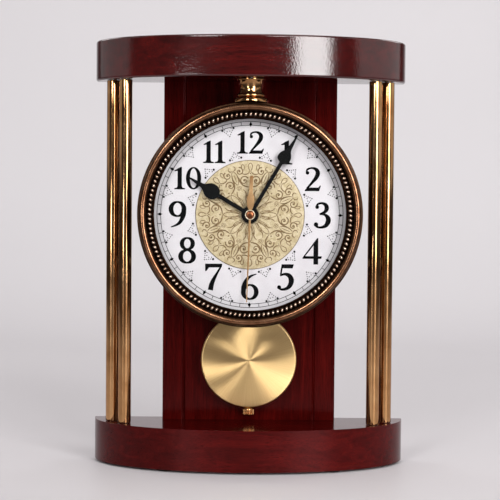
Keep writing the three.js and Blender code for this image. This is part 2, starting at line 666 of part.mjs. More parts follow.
// Gear centres and tooth phases, with angles in radians from +X towards +Z
const MOTION_DISTANCE = (MOTION_MODULE * (CANNON_TEETH + MOTION_TEETH)) / 2;
const HOUR_MODULE = (2 * MOTION_DISTANCE) / (HOUR_TEETH + MOTION_PINION_TEETH);
const THIRD_DISTANCE = (THIRD_MODULE * (SECONDS_PINION_TEETH + THIRD_TEETH)) / 2;
const CENTRE_MODULE = (2 * THIRD_DISTANCE) / (CENTRE_TEETH + THIRD_PINION_TEETH);
const MIDDLE_DISTANCE = (SECONDS_MODULE * (SECONDS_TEETH + MIDDLE_PINION_TEETH)) / 2;
const ROTOR_DISTANCE = (ROTOR_MODULE * (MIDDLE_TEETH + ROTOR_TEETH)) / 2;
const SETTING_DISTANCE = (MOTION_MODULE * (MOTION_TEETH + SETTING_TEETH)) / 2;
const TO_MOTION = Math.PI;
const TO_THIRD = 0;
const TO_MIDDLE = -Math.PI / 2;
const TO_ROTOR = -Math.PI / 6;
const MOTION_AT = [MOTION_DISTANCE * Math.cos(TO_MOTION), MOTION_DISTANCE * Math.sin(TO_MOTION)];
const THIRD_AT = [THIRD_DISTANCE * Math.cos(TO_THIRD), THIRD_DISTANCE * Math.sin(TO_THIRD)];
const MIDDLE_AT = [MIDDLE_DISTANCE * Math.cos(TO_MIDDLE), MIDDLE_DISTANCE * Math.sin(TO_MIDDLE)];
const ROTOR_AT = [
  MIDDLE_AT[0] + ROTOR_DISTANCE * Math.cos(TO_ROTOR),
  MIDDLE_AT[1] + ROTOR_DISTANCE * Math.sin(TO_ROTOR),
];
const SETTING_AT = [
  MOTION_AT[0] + SETTING_DISTANCE * Math.cos(TO_MOTION),
  MOTION_AT[1] + SETTING_DISTANCE * Math.sin(TO_MOTION),
];

// The tooth angle of a gear that meshes with another one standing in a given direction
function meshPhase(drivenTeeth, driverTeeth, driverPhase, direction) {
  const space = direction + Math.PI - ((driverPhase - direction) * driverTeeth) / drivenTeeth;
  return space + Math.PI / drivenTeeth;
}

// A toothed disc at one layer of the train
function toothed(teeth, module, phase, front, back) {
  const root = module * (teeth / 2 - TOOTH_ROOT);
  const tip = module * (teeth / 2 + TOOTH_TIP);
  const pitch = (2 * Math.PI) / teeth;
  const corners = [
    [root, -TOOTH_ROOT_SHARE], [tip, -TOOTH_TIP_SHARE], [tip, TOOTH_TIP_SHARE], [root, TOOTH_ROOT_SHARE],
  ];
  const points = [];
  for (let i = 0; i < teeth; i += 1) {
    for (const [radius, share] of corners) {
      const angle = phase + (i + share) * pitch;
      points.push(new THREE.Vector2(radius * Math.cos(angle), radius * Math.sin(angle)));
    }
  }
  return facing(new THREE.Shape(points), front, back);
}

// Front face of a layer, counted from the dial side
function layerFront(layer) {
  return INNER_FRONT + FIRST_LAYER + layer * LAYER_STEP;
}

function layerBack(layer) {
  return layerFront(layer) + WHEEL_THICKNESS;
}

// Wheels, from the hour wheel behind the dial to the rotor at the back
function addGears(head) {
  const pinionBack = (layer) => layerFront(layer + 1) + WHEEL_THICKNESS / 2;
  const arborBack = COVER_BACK;

  const hourTeeth = toothed(HOUR_TEETH, HOUR_MODULE, TO_MOTION, layerFront(0), layerBack(0));
  const hourTube = barY(HOUR_TUBE, HOUR_FRONT - TUBE_PROUD, layerBack(0));
  const hourBore = barY(HOUR_BORE, HOUR_FRONT - PAST, layerBack(0) + PAST);
  addPiece(head, 'hour_wheel', cut(join(hourTeeth, hourTube), hourBore), WHITE_PLASTIC);

  const cannon = toothed(CANNON_TEETH, MOTION_MODULE, TO_MOTION, layerFront(1), pinionBack(1));
  const centreTeeth = toothed(CENTRE_TEETH, CENTRE_MODULE, TO_THIRD, layerFront(2), layerBack(2));
  const minuteTube = barY(MINUTE_TUBE, MINUTE_FRONT - TUBE_PROUD, layerBack(2));
  const minuteBore = barY(MINUTE_BORE, MINUTE_FRONT - PAST, layerBack(2) + PAST);
  addPiece(head, 'centre_wheel', cut(join(cannon, centreTeeth, minuteTube), minuteBore), WHITE_PLASTIC);

  const secondsPinion = toothed(SECONDS_PINION_TEETH, THIRD_MODULE, TO_THIRD, layerFront(3), pinionBack(3));
  const secondsTeeth = toothed(SECONDS_TEETH, SECONDS_MODULE, TO_MIDDLE, layerFront(4), layerBack(4));
  const secondsArbor = barY(ARBOR_RADIUS, SECOND_ARBOR_FRONT, arborBack);
  addPiece(head, 'seconds_wheel', join(secondsPinion, secondsTeeth, secondsArbor), WHITE_PLASTIC);

  const motionPhase = meshPhase(MOTION_TEETH, CANNON_TEETH, TO_MOTION, TO_MOTION);
  const motionPinionPhase = meshPhase(MOTION_PINION_TEETH, HOUR_TEETH, TO_MOTION, TO_MOTION);
  const motionPinion = toothed(
    MOTION_PINION_TEETH, HOUR_MODULE, motionPinionPhase, layerFront(0), pinionBack(0),
  );
  const motionTeeth = toothed(MOTION_TEETH, MOTION_MODULE, motionPhase, layerFront(1), layerBack(1));
  const motionBore = barY(POST_PIN_RADIUS + GAP, layerFront(0) - PAST, layerBack(1) + PAST);
  const motionWheel = cut(join(motionPinion, motionTeeth), motionBore);
  addPiece(head, 'motion_wheel', motionWheel, WHITE_PLASTIC, MOTION_AT[0], 0, MOTION_AT[1]);

  const thirdPinionPhase = meshPhase(THIRD_PINION_TEETH, CENTRE_TEETH, TO_THIRD, TO_THIRD);
  const thirdPhase = meshPhase(THIRD_TEETH, SECONDS_PINION_TEETH, TO_THIRD, TO_THIRD);
  const thirdPinion = toothed(
    THIRD_PINION_TEETH, CENTRE_MODULE, thirdPinionPhase, layerFront(2), pinionBack(2),
  );
  const thirdTeeth = toothed(THIRD_TEETH, THIRD_MODULE, thirdPhase, layerFront(3), layerBack(3));
  const thirdArbor = barY(ARBOR_RADIUS, CASE_FRONT, arborBack);
  const thirdWheel = join(thirdPinion, thirdTeeth, thirdArbor);
  addPiece(head, 'third_wheel', thirdWheel, WHITE_PLASTIC, THIRD_AT[0], 0, THIRD_AT[1]);

  const middlePinionPhase = meshPhase(MIDDLE_PINION_TEETH, SECONDS_TEETH, TO_MIDDLE, TO_MIDDLE);
  const middlePinion = toothed(
    MIDDLE_PINION_TEETH, SECONDS_MODULE, middlePinionPhase, layerFront(4), pinionBack(4),
  );
  const middleTeeth = toothed(MIDDLE_TEETH, ROTOR_MODULE, TO_ROTOR, layerFront(5), layerBack(5));
  const middleArbor = barY(ARBOR_RADIUS, layerFront(4), arborBack);
  const middleWheel = join(middlePinion, middleTeeth, middleArbor);
  addPiece(head, 'intermediate_wheel', middleWheel, WHITE_PLASTIC, MIDDLE_AT[0], 0, MIDDLE_AT[1]);

  const rotorPhase = meshPhase(ROTOR_TEETH, MIDDLE_TEETH, TO_ROTOR, TO_ROTOR);
  const rotorPinion = toothed(ROTOR_TEETH, ROTOR_MODULE, rotorPhase, layerFront(5), pinionBack(5));
  const magnet = barY(ROTOR_MAGNET_RADIUS, layerFront(6), layerFront(6) + ROTOR_MAGNET_HEIGHT);
  const rotorArbor = barY(ARBOR_RADIUS, layerFront(5), arborBack);
  const rotor = join(rotorPinion, magnet, rotorArbor);
  addPiece(head, 'rotor', rotor, WHITE_PLASTIC, ROTOR_AT[0], 0, ROTOR_AT[1]);

  const settingPhase = meshPhase(SETTING_TEETH, MOTION_TEETH, motionPhase, TO_MOTION);
  const settingPinion = toothed(SETTING_TEETH, MOTION_MODULE, settingPhase, layerFront(1), layerBack(1));
  const knobFront = COVER_BACK + KNOB_CLEARANCE;
  const settingShaft = barY(SETTING_SHAFT_RADIUS, layerFront(1), knobFront + KNOB_HEIGHT / 2);
  const knob = barY(KNOB_RADIUS, knobFront, knobFront + KNOB_HEIGHT, 0, 0, KNOB_SIDES);
  const settingKnob = join(settingPinion, settingShaft, knob);
  addPiece(head, 'setting_knob', settingKnob, BLACK_PLASTIC, SETTING_AT[0], 0, SETTING_AT[1]);
}

// Movement case, its cover and the pieces fixed in them
const CASE_HALF_WIDTH = BATTERY_LENGTH / 2 + CONTACT_ROOM + CASE_WALL;
const INNER_HALF_WIDTH = CASE_HALF_WIDTH - CASE_WALL;
const BAY_BOTTOM = GEAR_ROOM_ABOVE + CASE_WALL;
const BAY_TOP = BAY_BOTTOM + 2 * (BATTERY_RADIUS + BATTERY_PLAY);
const BATTERY_Z = BAY_BOTTOM + BATTERY_PLAY + BATTERY_RADIUS;
const BATTERY_Y = INNER_FRONT + BATTERY_PLAY + BATTERY_RADIUS;
const CASE_TOP = BAY_TOP + CASE_WALL;
const CASE_BOTTOM = -GEAR_ROOM_BELOW - CASE_WALL;
const STATOR_FRONT = layerFront(6) + (ROTOR_MAGNET_HEIGHT - STATOR_THICKNESS) / 2;
const STATOR_BACK = STATOR_FRONT + STATOR_THICKNESS;
const STATOR_HOLE = ROTOR_MAGNET_RADIUS + STATOR_AIR;
const STATOR_LEFT = ROTOR_AT[0] - STATOR_HOLE - STATOR_MARGIN / 2;
const STATOR_BOTTOM = ROTOR_AT[1] - STATOR_HOLE - STATOR_MARGIN;
const YOKE_RIGHT = ROTOR_AT[0] + STATOR_HOLE + STATOR_MARGIN;
const LEG_LEFT = ROTOR_AT[0] + STATOR_REACH;
const LEG_RIGHT = LEG_LEFT + LEG_WIDTH;
const DRIVE_Z = PIVOT_Z - MAGNET_DROP;

function addMovementCase(head) {
  const shell = block(
    -CASE_HALF_WIDTH, CASE_HALF_WIDTH, CASE_FRONT, COVER_FRONT - GAP, CASE_BOTTOM, CASE_TOP,
  );
  const gearRoom = block(
    -INNER_HALF_WIDTH, INNER_HALF_WIDTH, INNER_FRONT, COVER_FRONT + PAST, -GEAR_ROOM_BELOW, GEAR_ROOM_ABOVE,
  );
  const bay = block(
    -INNER_HALF_WIDTH, INNER_HALF_WIDTH, INNER_FRONT, COVER_FRONT + PAST, BAY_BOTTOM, BAY_TOP,
  );
  const bushHole = barY(BUSH_RADIUS + GAP, CASE_FRONT - PAST, INNER_FRONT + PAST);
  const pivotHole = barY(ARBOR_RADIUS + GAP, CASE_FRONT - PAST, INNER_FRONT + PAST, ...THIRD_AT);
  const motionPost = barY(POST_PIN_RADIUS, INNER_FRONT - CASE_WALL / 2, layerBack(1), ...MOTION_AT);
  const tray = join(cut(shell, gearRoom, bay, bushHole, pivotHole), motionPost);
  addPiece(head, 'movement_case', tray, BLACK_PLASTIC);

  const bush = ringY(BUSH_RADIUS, BUSH_BORE, BUSH_FRONT, INNER_FRONT, COLUMN_SIDES);
  addPiece(head, 'centre_bush', bush, BRASS);
  const nutBlank = barY(NUT_RADIUS, NUT_FRONT, NUT_BACK, 0, 0, HEX_SIDES);
  const nutBore = barY(BUSH_RADIUS + GAP, NUT_FRONT - PAST, NUT_BACK + PAST, 0, 0, COLUMN_SIDES);
  addPiece(head, 'dial_nut', cut(nutBlank, nutBore), BRASS);
}

function addMovementCover(head) {
  const plate = block(
    -CASE_HALF_WIDTH, CASE_HALF_WIDTH, COVER_FRONT, COVER_BACK,
    CASE_BOTTOM, GEAR_ROOM_ABOVE + CASE_WALL / 2,
  );
  const arborHoles = [[0, 0], THIRD_AT, MIDDLE_AT, ROTOR_AT].map(
    ([x, z]) => barY(ARBOR_RADIUS + GAP, COVER_FRONT - PAST, COVER_BACK + PAST, x, z),
  );
  const settingHole = barY(SETTING_SHAFT_RADIUS + GAP, COVER_FRONT - PAST, COVER_BACK + PAST, ...SETTING_AT);
  const pinBack = PENDULUM_Y + HANGER_THICKNESS / 2 + HANGER_CLEARANCE;
  const pin = barY(PIVOT_RADIUS, COVER_FRONT, pinBack, 0, PIVOT_Z);
  const legMiddle = (LEG_LEFT + LEG_RIGHT) / 2;
  const statorPegs = [STATOR_BOTTOM + STATOR_MARGIN, STATOR_RISE - STATOR_MARGIN].map(
    (z) => barY(PEG_RADIUS, STATOR_BACK + GAP, COVER_BACK, legMiddle, z),
  );
  const circuitBack = STATOR_BACK;
  const circuitX = -INNER_HALF_WIDTH + BOARD_CIRCUIT_EDGE + BOARD_CIRCUIT_WIDTH / 2;
  const circuitPegs = [-1, 1].map(
    (side) => barY(PEG_RADIUS, circuitBack + GAP, COVER_BACK, circuitX, side * CIRCUIT_PEG_RISE),
  );
  const cover = join(cut(plate, ...arborHoles, settingHole), pin, ...statorPegs, ...circuitPegs);
  addPiece(head, 'movement_cover', cover, BLACK_PLASTIC);

  const circuit = block(
    circuitX - BOARD_CIRCUIT_WIDTH / 2, circuitX + BOARD_CIRCUIT_WIDTH / 2,
    circuitBack - BOARD_CIRCUIT_THICKNESS, circuitBack, -BOARD_CIRCUIT_HEIGHT / 2, BOARD_CIRCUIT_HEIGHT / 2,
  );
  addPiece(head, 'circuit_board', circuit, CIRCUIT_GREEN);
}

// Stepping motor's stator and coil, and the pendulum's drive coil
function addMotor(head) {
  const plate = block(STATOR_LEFT, LEG_RIGHT, STATOR_FRONT, STATOR_BACK, STATOR_BOTTOM, STATOR_RISE);
  const opening = block(
    YOKE_RIGHT, LEG_LEFT, STATOR_FRONT - PAST, STATOR_BACK + PAST,
    STATOR_BOTTOM + 2 * STATOR_MARGIN, STATOR_RISE - 2 * STATOR_MARGIN,
  );
  const rotorHole = barY(STATOR_HOLE, STATOR_FRONT - PAST, STATOR_BACK + PAST, ...ROTOR_AT, COLUMN_SIDES);
  const thirdHole = barY(2 * ARBOR_RADIUS + GAP, STATOR_FRONT - PAST, STATOR_BACK + PAST, ...THIRD_AT);
  addPiece(head, 'stator', cut(plate, opening, rotorHole, thirdHole), STEEL);

  const bottom = COIL_RISE - COIL_HEIGHT / 2;
  const top = COIL_RISE + COIL_HEIGHT / 2;
  const winding = block(
    LEG_LEFT - COIL_WALL, LEG_RIGHT + COIL_WALL,
    STATOR_FRONT - COIL_WALL, STATOR_BACK + COIL_WALL, bottom, top,
  );
  const core = block(
    LEG_LEFT - GAP, LEG_RIGHT + GAP, STATOR_FRONT - GAP, STATOR_BACK + GAP, bottom - PAST, top + PAST,
  );
  addPiece(head, 'motor_coil', cut(winding, core), COIL_WIRE);

  const driveBack = COVER_FRONT - GAP;
  const driveFront = driveBack - DRIVE_COIL_HEIGHT;
  const driveCoil = ringY(DRIVE_COIL_RADIUS, DRIVE_COIL_BORE, driveFront, driveBack, COLUMN_SIDES);
  addPiece(head, 'pendulum_coil', driveCoil, COIL_WIRE, 0, 0, DRIVE_Z);
}

// Cell and its contacts
function addBattery(head) {
  const half = BATTERY_LENGTH / 2;
  const shoulder = half - BATTERY_NUB_HEIGHT;
  const profile = [
    [0, -half], [BATTERY_RADIUS - BATTERY_EDGE, -half], [BATTERY_RADIUS, -half + BATTERY_EDGE],
    [BATTERY_RADIUS, shoulder - BATTERY_EDGE], [BATTERY_RADIUS - BATTERY_EDGE, shoulder],
    [BATTERY_NUB_RADIUS, shoulder], [BATTERY_NUB_RADIUS, half], [0, half],
  ];
  const points = profile.map(([radius, along]) => new THREE.Vector2(radius, along));
  const geometry = new THREE.LatheGeometry(points, COLUMN_SIDES);
  geometry.rotateZ(-Math.PI / 2);
  addPiece(head, 'battery', solidOf(geometry), CELL_SLEEVE, 0, BATTERY_Y, BATTERY_Z);

  for (const [name, side] of [['contact_negative', -1], ['contact_positive', 1]]) {
    const wall = side * (INNER_HALF_WIDTH - GAP);
    const face = wall - side * CONTACT_THICKNESS;
    const tip = side * (half + GAP);
    const strip = block(
      Math.min(wall, face), Math.max(wall, face), -CONTACT_HALF_WIDTH, CONTACT_HALF_WIDTH,
      -CONTACT_HALF_WIDTH, CONTACT_HALF_WIDTH,
    );
    const spring = new THREE.CylinderGeometry(
      CONTACT_SPRING_RADIUS, BATTERY_NUB_RADIUS, Math.abs(wall - tip), ROD_SIDES,
    );
    spring.rotateZ((-side * Math.PI) / 2);
    spring.translate((wall + tip) / 2, 0, 0);
    addPiece(head, name, join(strip, solidOf(spring)), STEEL, 0, BATTERY_Y, BATTERY_Z);
  }
}

// A spade hand that points up: a stem, a rounded spade that draws in to a waist, and a straight point
function spadeShape({ stem, start, widest, halfWidth, waist, waistHalfWidth, tip }) {
  const shape = new THREE.Shape();
  const bend = (widest + waist) / 2;
  shape.moveTo(-stem, 0);
  shape.lineTo(-stem, start);
  shape.quadraticCurveTo(-halfWidth, start, -halfWidth, widest);
  shape.bezierCurveTo(-halfWidth, bend, -waistHalfWidth, bend, -waistHalfWidth, waist);
  shape.lineTo(-HAND_POINT_HALF_WIDTH, tip);
  shape.lineTo(HAND_POINT_HALF_WIDTH, tip);
  shape.lineTo(waistHalfWidth, waist);
  shape.bezierCurveTo(waistHalfWidth, bend, halfWidth, bend, halfWidth, widest);
  shape.quadraticCurveTo(halfWidth, start, stem, start);
  shape.lineTo(stem, 0);
  shape.closePath();
  return shape;
}

// The second hand: a needle that points up and a vase-shaped tail with a flat end
function secondShape() {
  const shape = new THREE.Shape();
  const bend = (SECOND_BULGE + SECOND_WAIST) / 2;
  shape.moveTo(-SECOND_HALF_WIDTH, SECOND_TIP);
  shape.lineTo(-SECOND_NECK_HALF_WIDTH, 0);
  shape.lineTo(-SECOND_NECK_HALF_WIDTH, -CAP_RADIUS);
  shape.quadraticCurveTo(-SECOND_BULGE_HALF_WIDTH, -CAP_RADIUS, -SECOND_BULGE_HALF_WIDTH, -SECOND_BULGE);
  shape.bezierCurveTo(
    -SECOND_BULGE_HALF_WIDTH, -bend, -SECOND_TAIL_HALF_WIDTH, -bend, -SECOND_TAIL_HALF_WIDTH, -SECOND_WAIST,
  );
  shape.lineTo(-SECOND_TAIL_HALF_WIDTH, -SECOND_TAIL);
  shape.lineTo(SECOND_TAIL_HALF_WIDTH, -SECOND_TAIL);
  shape.lineTo(SECOND_TAIL_HALF_WIDTH, -SECOND_WAIST);
  shape.bezierCurveTo(
    SECOND_TAIL_HALF_WIDTH, -bend, SECOND_BULGE_HALF_WIDTH, -bend, SECOND_BULGE_HALF_WIDTH, -SECOND_BULGE,
  );
  shape.quadraticCurveTo(SECOND_BULGE_HALF_WIDTH, -CAP_RADIUS, SECOND_NECK_HALF_WIDTH, -CAP_RADIUS);
  shape.lineTo(SECOND_NECK_HALF_WIDTH, 0);
  shape.lineTo(SECOND_HALF_WIDTH, SECOND_TIP);
  shape.closePath();
  return shape;
}

// Hands at the time that the dial shows
function addSpadeHand(head, name, angle, outline) {
  const { hubRadius, tubeRadius, front, back } = outline;
  const blade = facing(spadeShape(outline), front, back);
  const boss = barY(hubRadius, front, back, 0, 0, COLUMN_SIDES);
  const bore = barY(tubeRadius + GAP, front - PAST, back + PAST, 0, 0, COLUMN_SIDES);
  addPiece(head, name, turnedHand(cut(join(blade, boss), bore), angle), BLACK_LACQUER);
}

function addHands(head) {
  addSpadeHand(head, 'hour_hand', HOUR_ANGLE, {
    hubRadius: HOUR_HUB_RADIUS,
    tubeRadius: HOUR_TUBE,
    front: HOUR_FRONT,
    back: HOUR_BACK,
    stem: HOUR_STEM_HALF_WIDTH,
    start: HOUR_SPADE_START,
    widest: HOUR_SPADE_WIDEST,
    halfWidth: HOUR_SPADE_HALF_WIDTH,
    waist: HOUR_WAIST,
    waistHalfWidth: HOUR_WAIST_HALF_WIDTH,
    tip: HOUR_TIP,
  });
  addSpadeHand(head, 'minute_hand', MINUTE_ANGLE, {
    hubRadius: MINUTE_HUB_RADIUS,
    tubeRadius: MINUTE_TUBE,
    front: MINUTE_FRONT,
    back: MINUTE_BACK,
    stem: MINUTE_STEM_HALF_WIDTH,
    start: MINUTE_SPADE_START,
    widest: MINUTE_SPADE_WIDEST,
    halfWidth: MINUTE_SPADE_HALF_WIDTH,
    waist: MINUTE_WAIST,
    waistHalfWidth: MINUTE_WAIST_HALF_WIDTH,
    tip: MINUTE_TIP,
  });
  const blade = facing(secondShape(), SECOND_BACK - HAND_THICKNESS, SECOND_BACK);
  const cap = turnedY(
    [[0, SECOND_BACK], [CAP_RADIUS, SECOND_BACK], [CAP_RADIUS, CAP_FRONT + CAP_CROWN],
      [CAP_RADIUS - CAP_CROWN, CAP_FRONT], [0, CAP_FRONT]],
    COLUMN_SIDES,
  );
  const bore = barY(ARBOR_RADIUS + GAP, SECOND_ARBOR_FRONT - GAP, SECOND_BACK + PAST);
  addPiece(head, 'second_hand', turnedHand(cut(join(blade, cap), bore), SECOND_ANGLE), COPPER);
}

// Pendulum: hanger with its magnet, rod, bob and rating nut
function addPendulum(head) {
  const swing = new THREE.Group();
  swing.position.set(0, PENDULUM_Y, PIVOT_Z);
  head.add(swing);
  const half = HANGER_THICKNESS / 2;
  const rodX = ROD_RADIUS + GAP;
  const hangerBottom = -HANGER_LENGTH;
  const rodTop = hangerBottom + ROD_SOCKET;
  const stem = block(-HANGER_STEM_HALF_WIDTH, HANGER_STEM_HALF_WIDTH, -half, half, hangerBottom, 0);
  const eye = barY(HANGER_HEAD_RADIUS, -half, half, 0, 0, COLUMN_SIDES);
  const seat = barY(MAGNET_RADIUS + MAGNET_RIM, -half, half, 0, -MAGNET_DROP, COLUMN_SIDES);
  const pivotBore = barY(PIVOT_RADIUS + GAP, -half - PAST, half + PAST);
  const magnetBore = barY(MAGNET_RADIUS + GAP, -half - PAST, half + PAST, 0, -MAGNET_DROP);
  const rodBore = barZ(rodX, hangerBottom - PAST, rodTop + GAP);
  const hanger = cut(join(stem, eye, seat), pivotBore, magnetBore, rodBore);
  addPiece(swing, 'pendulum_hanger', hanger, BLACK_PLASTIC);
  addPiece(swing, 'pendulum_magnet', barY(MAGNET_RADIUS, -half, half, 0, -MAGNET_DROP), STEEL);

  const pivotHeight = HEAD_Z + PIVOT_Z;
  const nutBottom = NUT_BOTTOM_Z - pivotHeight;
  const nutTop = nutBottom + RATING_NUT_HEIGHT;
  addPiece(swing, 'pendulum_rod', barZ(ROD_RADIUS, nutBottom - ROD_PROUD, rodTop), BRASS);

  const bobHalf = BOB_THICKNESS / 2;
  const disc = turnedY(
    [[0, -bobHalf - BOB_CROWN], [BOB_RADIUS - BOB_BEVEL, -bobHalf], [BOB_RADIUS, -bobHalf + BOB_BEVEL],
      [BOB_RADIUS, bobHalf], [0, bobHalf]],
    BOB_SIDES,
  );
  const hollow = turnedY(
    [[0, -bobHalf - BOB_CROWN + BOB_WALL], [BOB_RADIUS - BOB_BEVEL - BOB_WALL, -bobHalf + BOB_WALL],
      [BOB_RADIUS - BOB_WALL, -bobHalf + BOB_BEVEL + BOB_WALL], [BOB_RADIUS - BOB_WALL, bobHalf + PAST],
      [0, bobHalf + PAST]],
    BOB_SIDES,
  );
  const sleeveX = rodX + SLEEVE_WALL;
  const sleeve = block(-sleeveX, sleeveX, -bobHalf, bobHalf, -BOB_RADIUS, BOB_RADIUS).intersect(disc);
  const bobBore = barZ(rodX, -BOB_RADIUS - PAST, BOB_RADIUS + PAST);
  const shell = cut(join(cut(disc, hollow), sleeve), bobBore);
  addPiece(swing, 'bob', shell, SATIN_BRASS, 0, 0, BOB_Z - pivotHeight);

  const inner = RATING_NUT_RADIUS - RATING_NUT_EDGE;
  const ratingNut = turnedZ(
    [[rodX, nutBottom], [inner, nutBottom], [RATING_NUT_RADIUS, nutBottom + RATING_NUT_EDGE],
      [RATING_NUT_RADIUS, nutTop - RATING_NUT_EDGE], [inner, nutTop], [rodX, nutTop], [rodX, nutBottom]],
    RATING_NUT_SIDES,
  );
  addPiece(swing, 'rating_nut', ratingNut, BRASS);
}

// Assembly
const clock = new THREE.Group();
clock.name = 'mantel_clock';
addFeet(clock);
addPlates(clock);
addColumns(clock);
addBackboard(clock);

const head = new THREE.Group();
head.position.set(0, 0, HEAD_Z);
clock.add(head);
addPosts(head);
addSpool(head);
addHead(head);
addMovementCase(head);
addMovementCover(head);
addMotor(head);
addGears(head);
addBattery(head);
addHands(head);
addPendulum(head);

export default clock;
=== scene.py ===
"""Looks of a bow-fronted mantel clock: lacquered wood, brass columns, a printed dial and a swinging bob."""

from __future__ import annotations

import logging
from dataclasses import dataclass
from enum import Enum
from math import cos, pi, radians, sin
from typing import ClassVar, Sequence

import bmesh
import bpy
from mathutils import Matrix, Vector
from mathutils.geometry import delaunay_2d_cdt


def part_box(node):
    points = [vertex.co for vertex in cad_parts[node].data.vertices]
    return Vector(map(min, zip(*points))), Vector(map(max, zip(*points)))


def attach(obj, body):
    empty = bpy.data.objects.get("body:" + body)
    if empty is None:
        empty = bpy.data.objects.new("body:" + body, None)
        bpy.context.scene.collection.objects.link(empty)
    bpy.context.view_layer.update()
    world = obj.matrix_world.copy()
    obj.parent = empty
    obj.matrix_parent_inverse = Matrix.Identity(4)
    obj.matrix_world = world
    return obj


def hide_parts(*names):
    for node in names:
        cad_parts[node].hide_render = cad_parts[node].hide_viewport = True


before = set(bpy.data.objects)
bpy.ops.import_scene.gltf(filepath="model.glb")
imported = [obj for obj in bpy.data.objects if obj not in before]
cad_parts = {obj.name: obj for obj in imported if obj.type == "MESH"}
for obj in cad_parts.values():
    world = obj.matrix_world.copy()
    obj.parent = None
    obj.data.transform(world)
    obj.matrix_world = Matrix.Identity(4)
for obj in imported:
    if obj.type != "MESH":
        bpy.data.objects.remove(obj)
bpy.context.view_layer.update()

MM = 0.001
TURN = 2 * pi
LOG = logging.getLogger("mantel_clock")

# How far in millimetres a cutter stands out of what it cuts
SPARE = 1.0

# Angles in degrees past which an edge stays sharp to the eye
CRISP = 30.0
TURNED = 40.0
SEAMLESS = 180.0

Point = tuple[float, float]
Place = tuple[float, float, float]
Profile = list[Point]
Outline = list[Point]
Socket = bpy.types.NodeSocket
Piece = bpy.types.Object


class Axis(Enum):
    """A direction that a piece is turned about or that grain runs along."""

    X = (1.0, 0.0, 0.0)
    Y = (0.0, 1.0, 0.0)
    Z = (0.0, 0.0, 1.0)

    def spot(self, along: float, u: float, v: float) -> Vector:
        """Gives the place at a distance along the axis and at two across it."""
        return Vector({"X": (along, u, v), "Y": (u, along, v), "Z": (u, v, along)}[self.name])


class Body(Enum):
    """The moving bodies that pieces ride on."""

    STAND = "stand"
    MINUTE = "minute_train"
    HOUR = "hour_train"
    SECONDS = "seconds_train"
    SETTING = "setting_shaft"
    PENDULUM = "pendulum"
    BOB = "pendulum_bob"
    NUT = "bob_nut"
    CELL = "cell"


class Blend(Enum):
    """How two colours are mixed."""

    OVER = "MIX"
    DARKEN = "MULTIPLY"


def tint(code: str) -> tuple[float, float, float, float]:
    """Turns a screen colour, six hexadecimal digits after a hash sign, into linear light."""
    parts = [int(code[i:i + 2], 16) / 255 for i in (1, 3, 5)]
    return (*(p / 12.92 if p <= 0.04045 else ((p + 0.055) / 1.055) ** 2.4 for p in parts), 1.0)


class Tree:
    """A node tree, with a short way to add nodes that are set and joined."""

    def __init__(self, tree: bpy.types.NodeTree) -> None:
        """Takes the tree that nodes are added to."""
        self.tree = tree

    def supply(self, node: bpy.types.Node, inputs: dict[str | int, object]) -> None:
        """Fills a node's inputs.

        Args:
            node: The node.
            inputs: A value to set or an output to link, for each input's name or number.
        """
        for place, value in inputs.items():
            if isinstance(value, Socket):
                self.tree.links.new(value, node.inputs[place])
            else:
                node.inputs[place].default_value = value

    def add(self, kind: str, inputs: dict[str | int, object] | None = None,
            **settings: object) -> bpy.types.Node:
        """Adds a node.

        Args:
            kind: The node's type.
            inputs: What its inputs get.
            settings: Properties to set on it.

        Returns:
            The node.
        """
        node = self.tree.nodes.new(kind)
        for name, value in settings.items():
            setattr(node, name, value)
        self.supply(node, inputs or {})
        return node


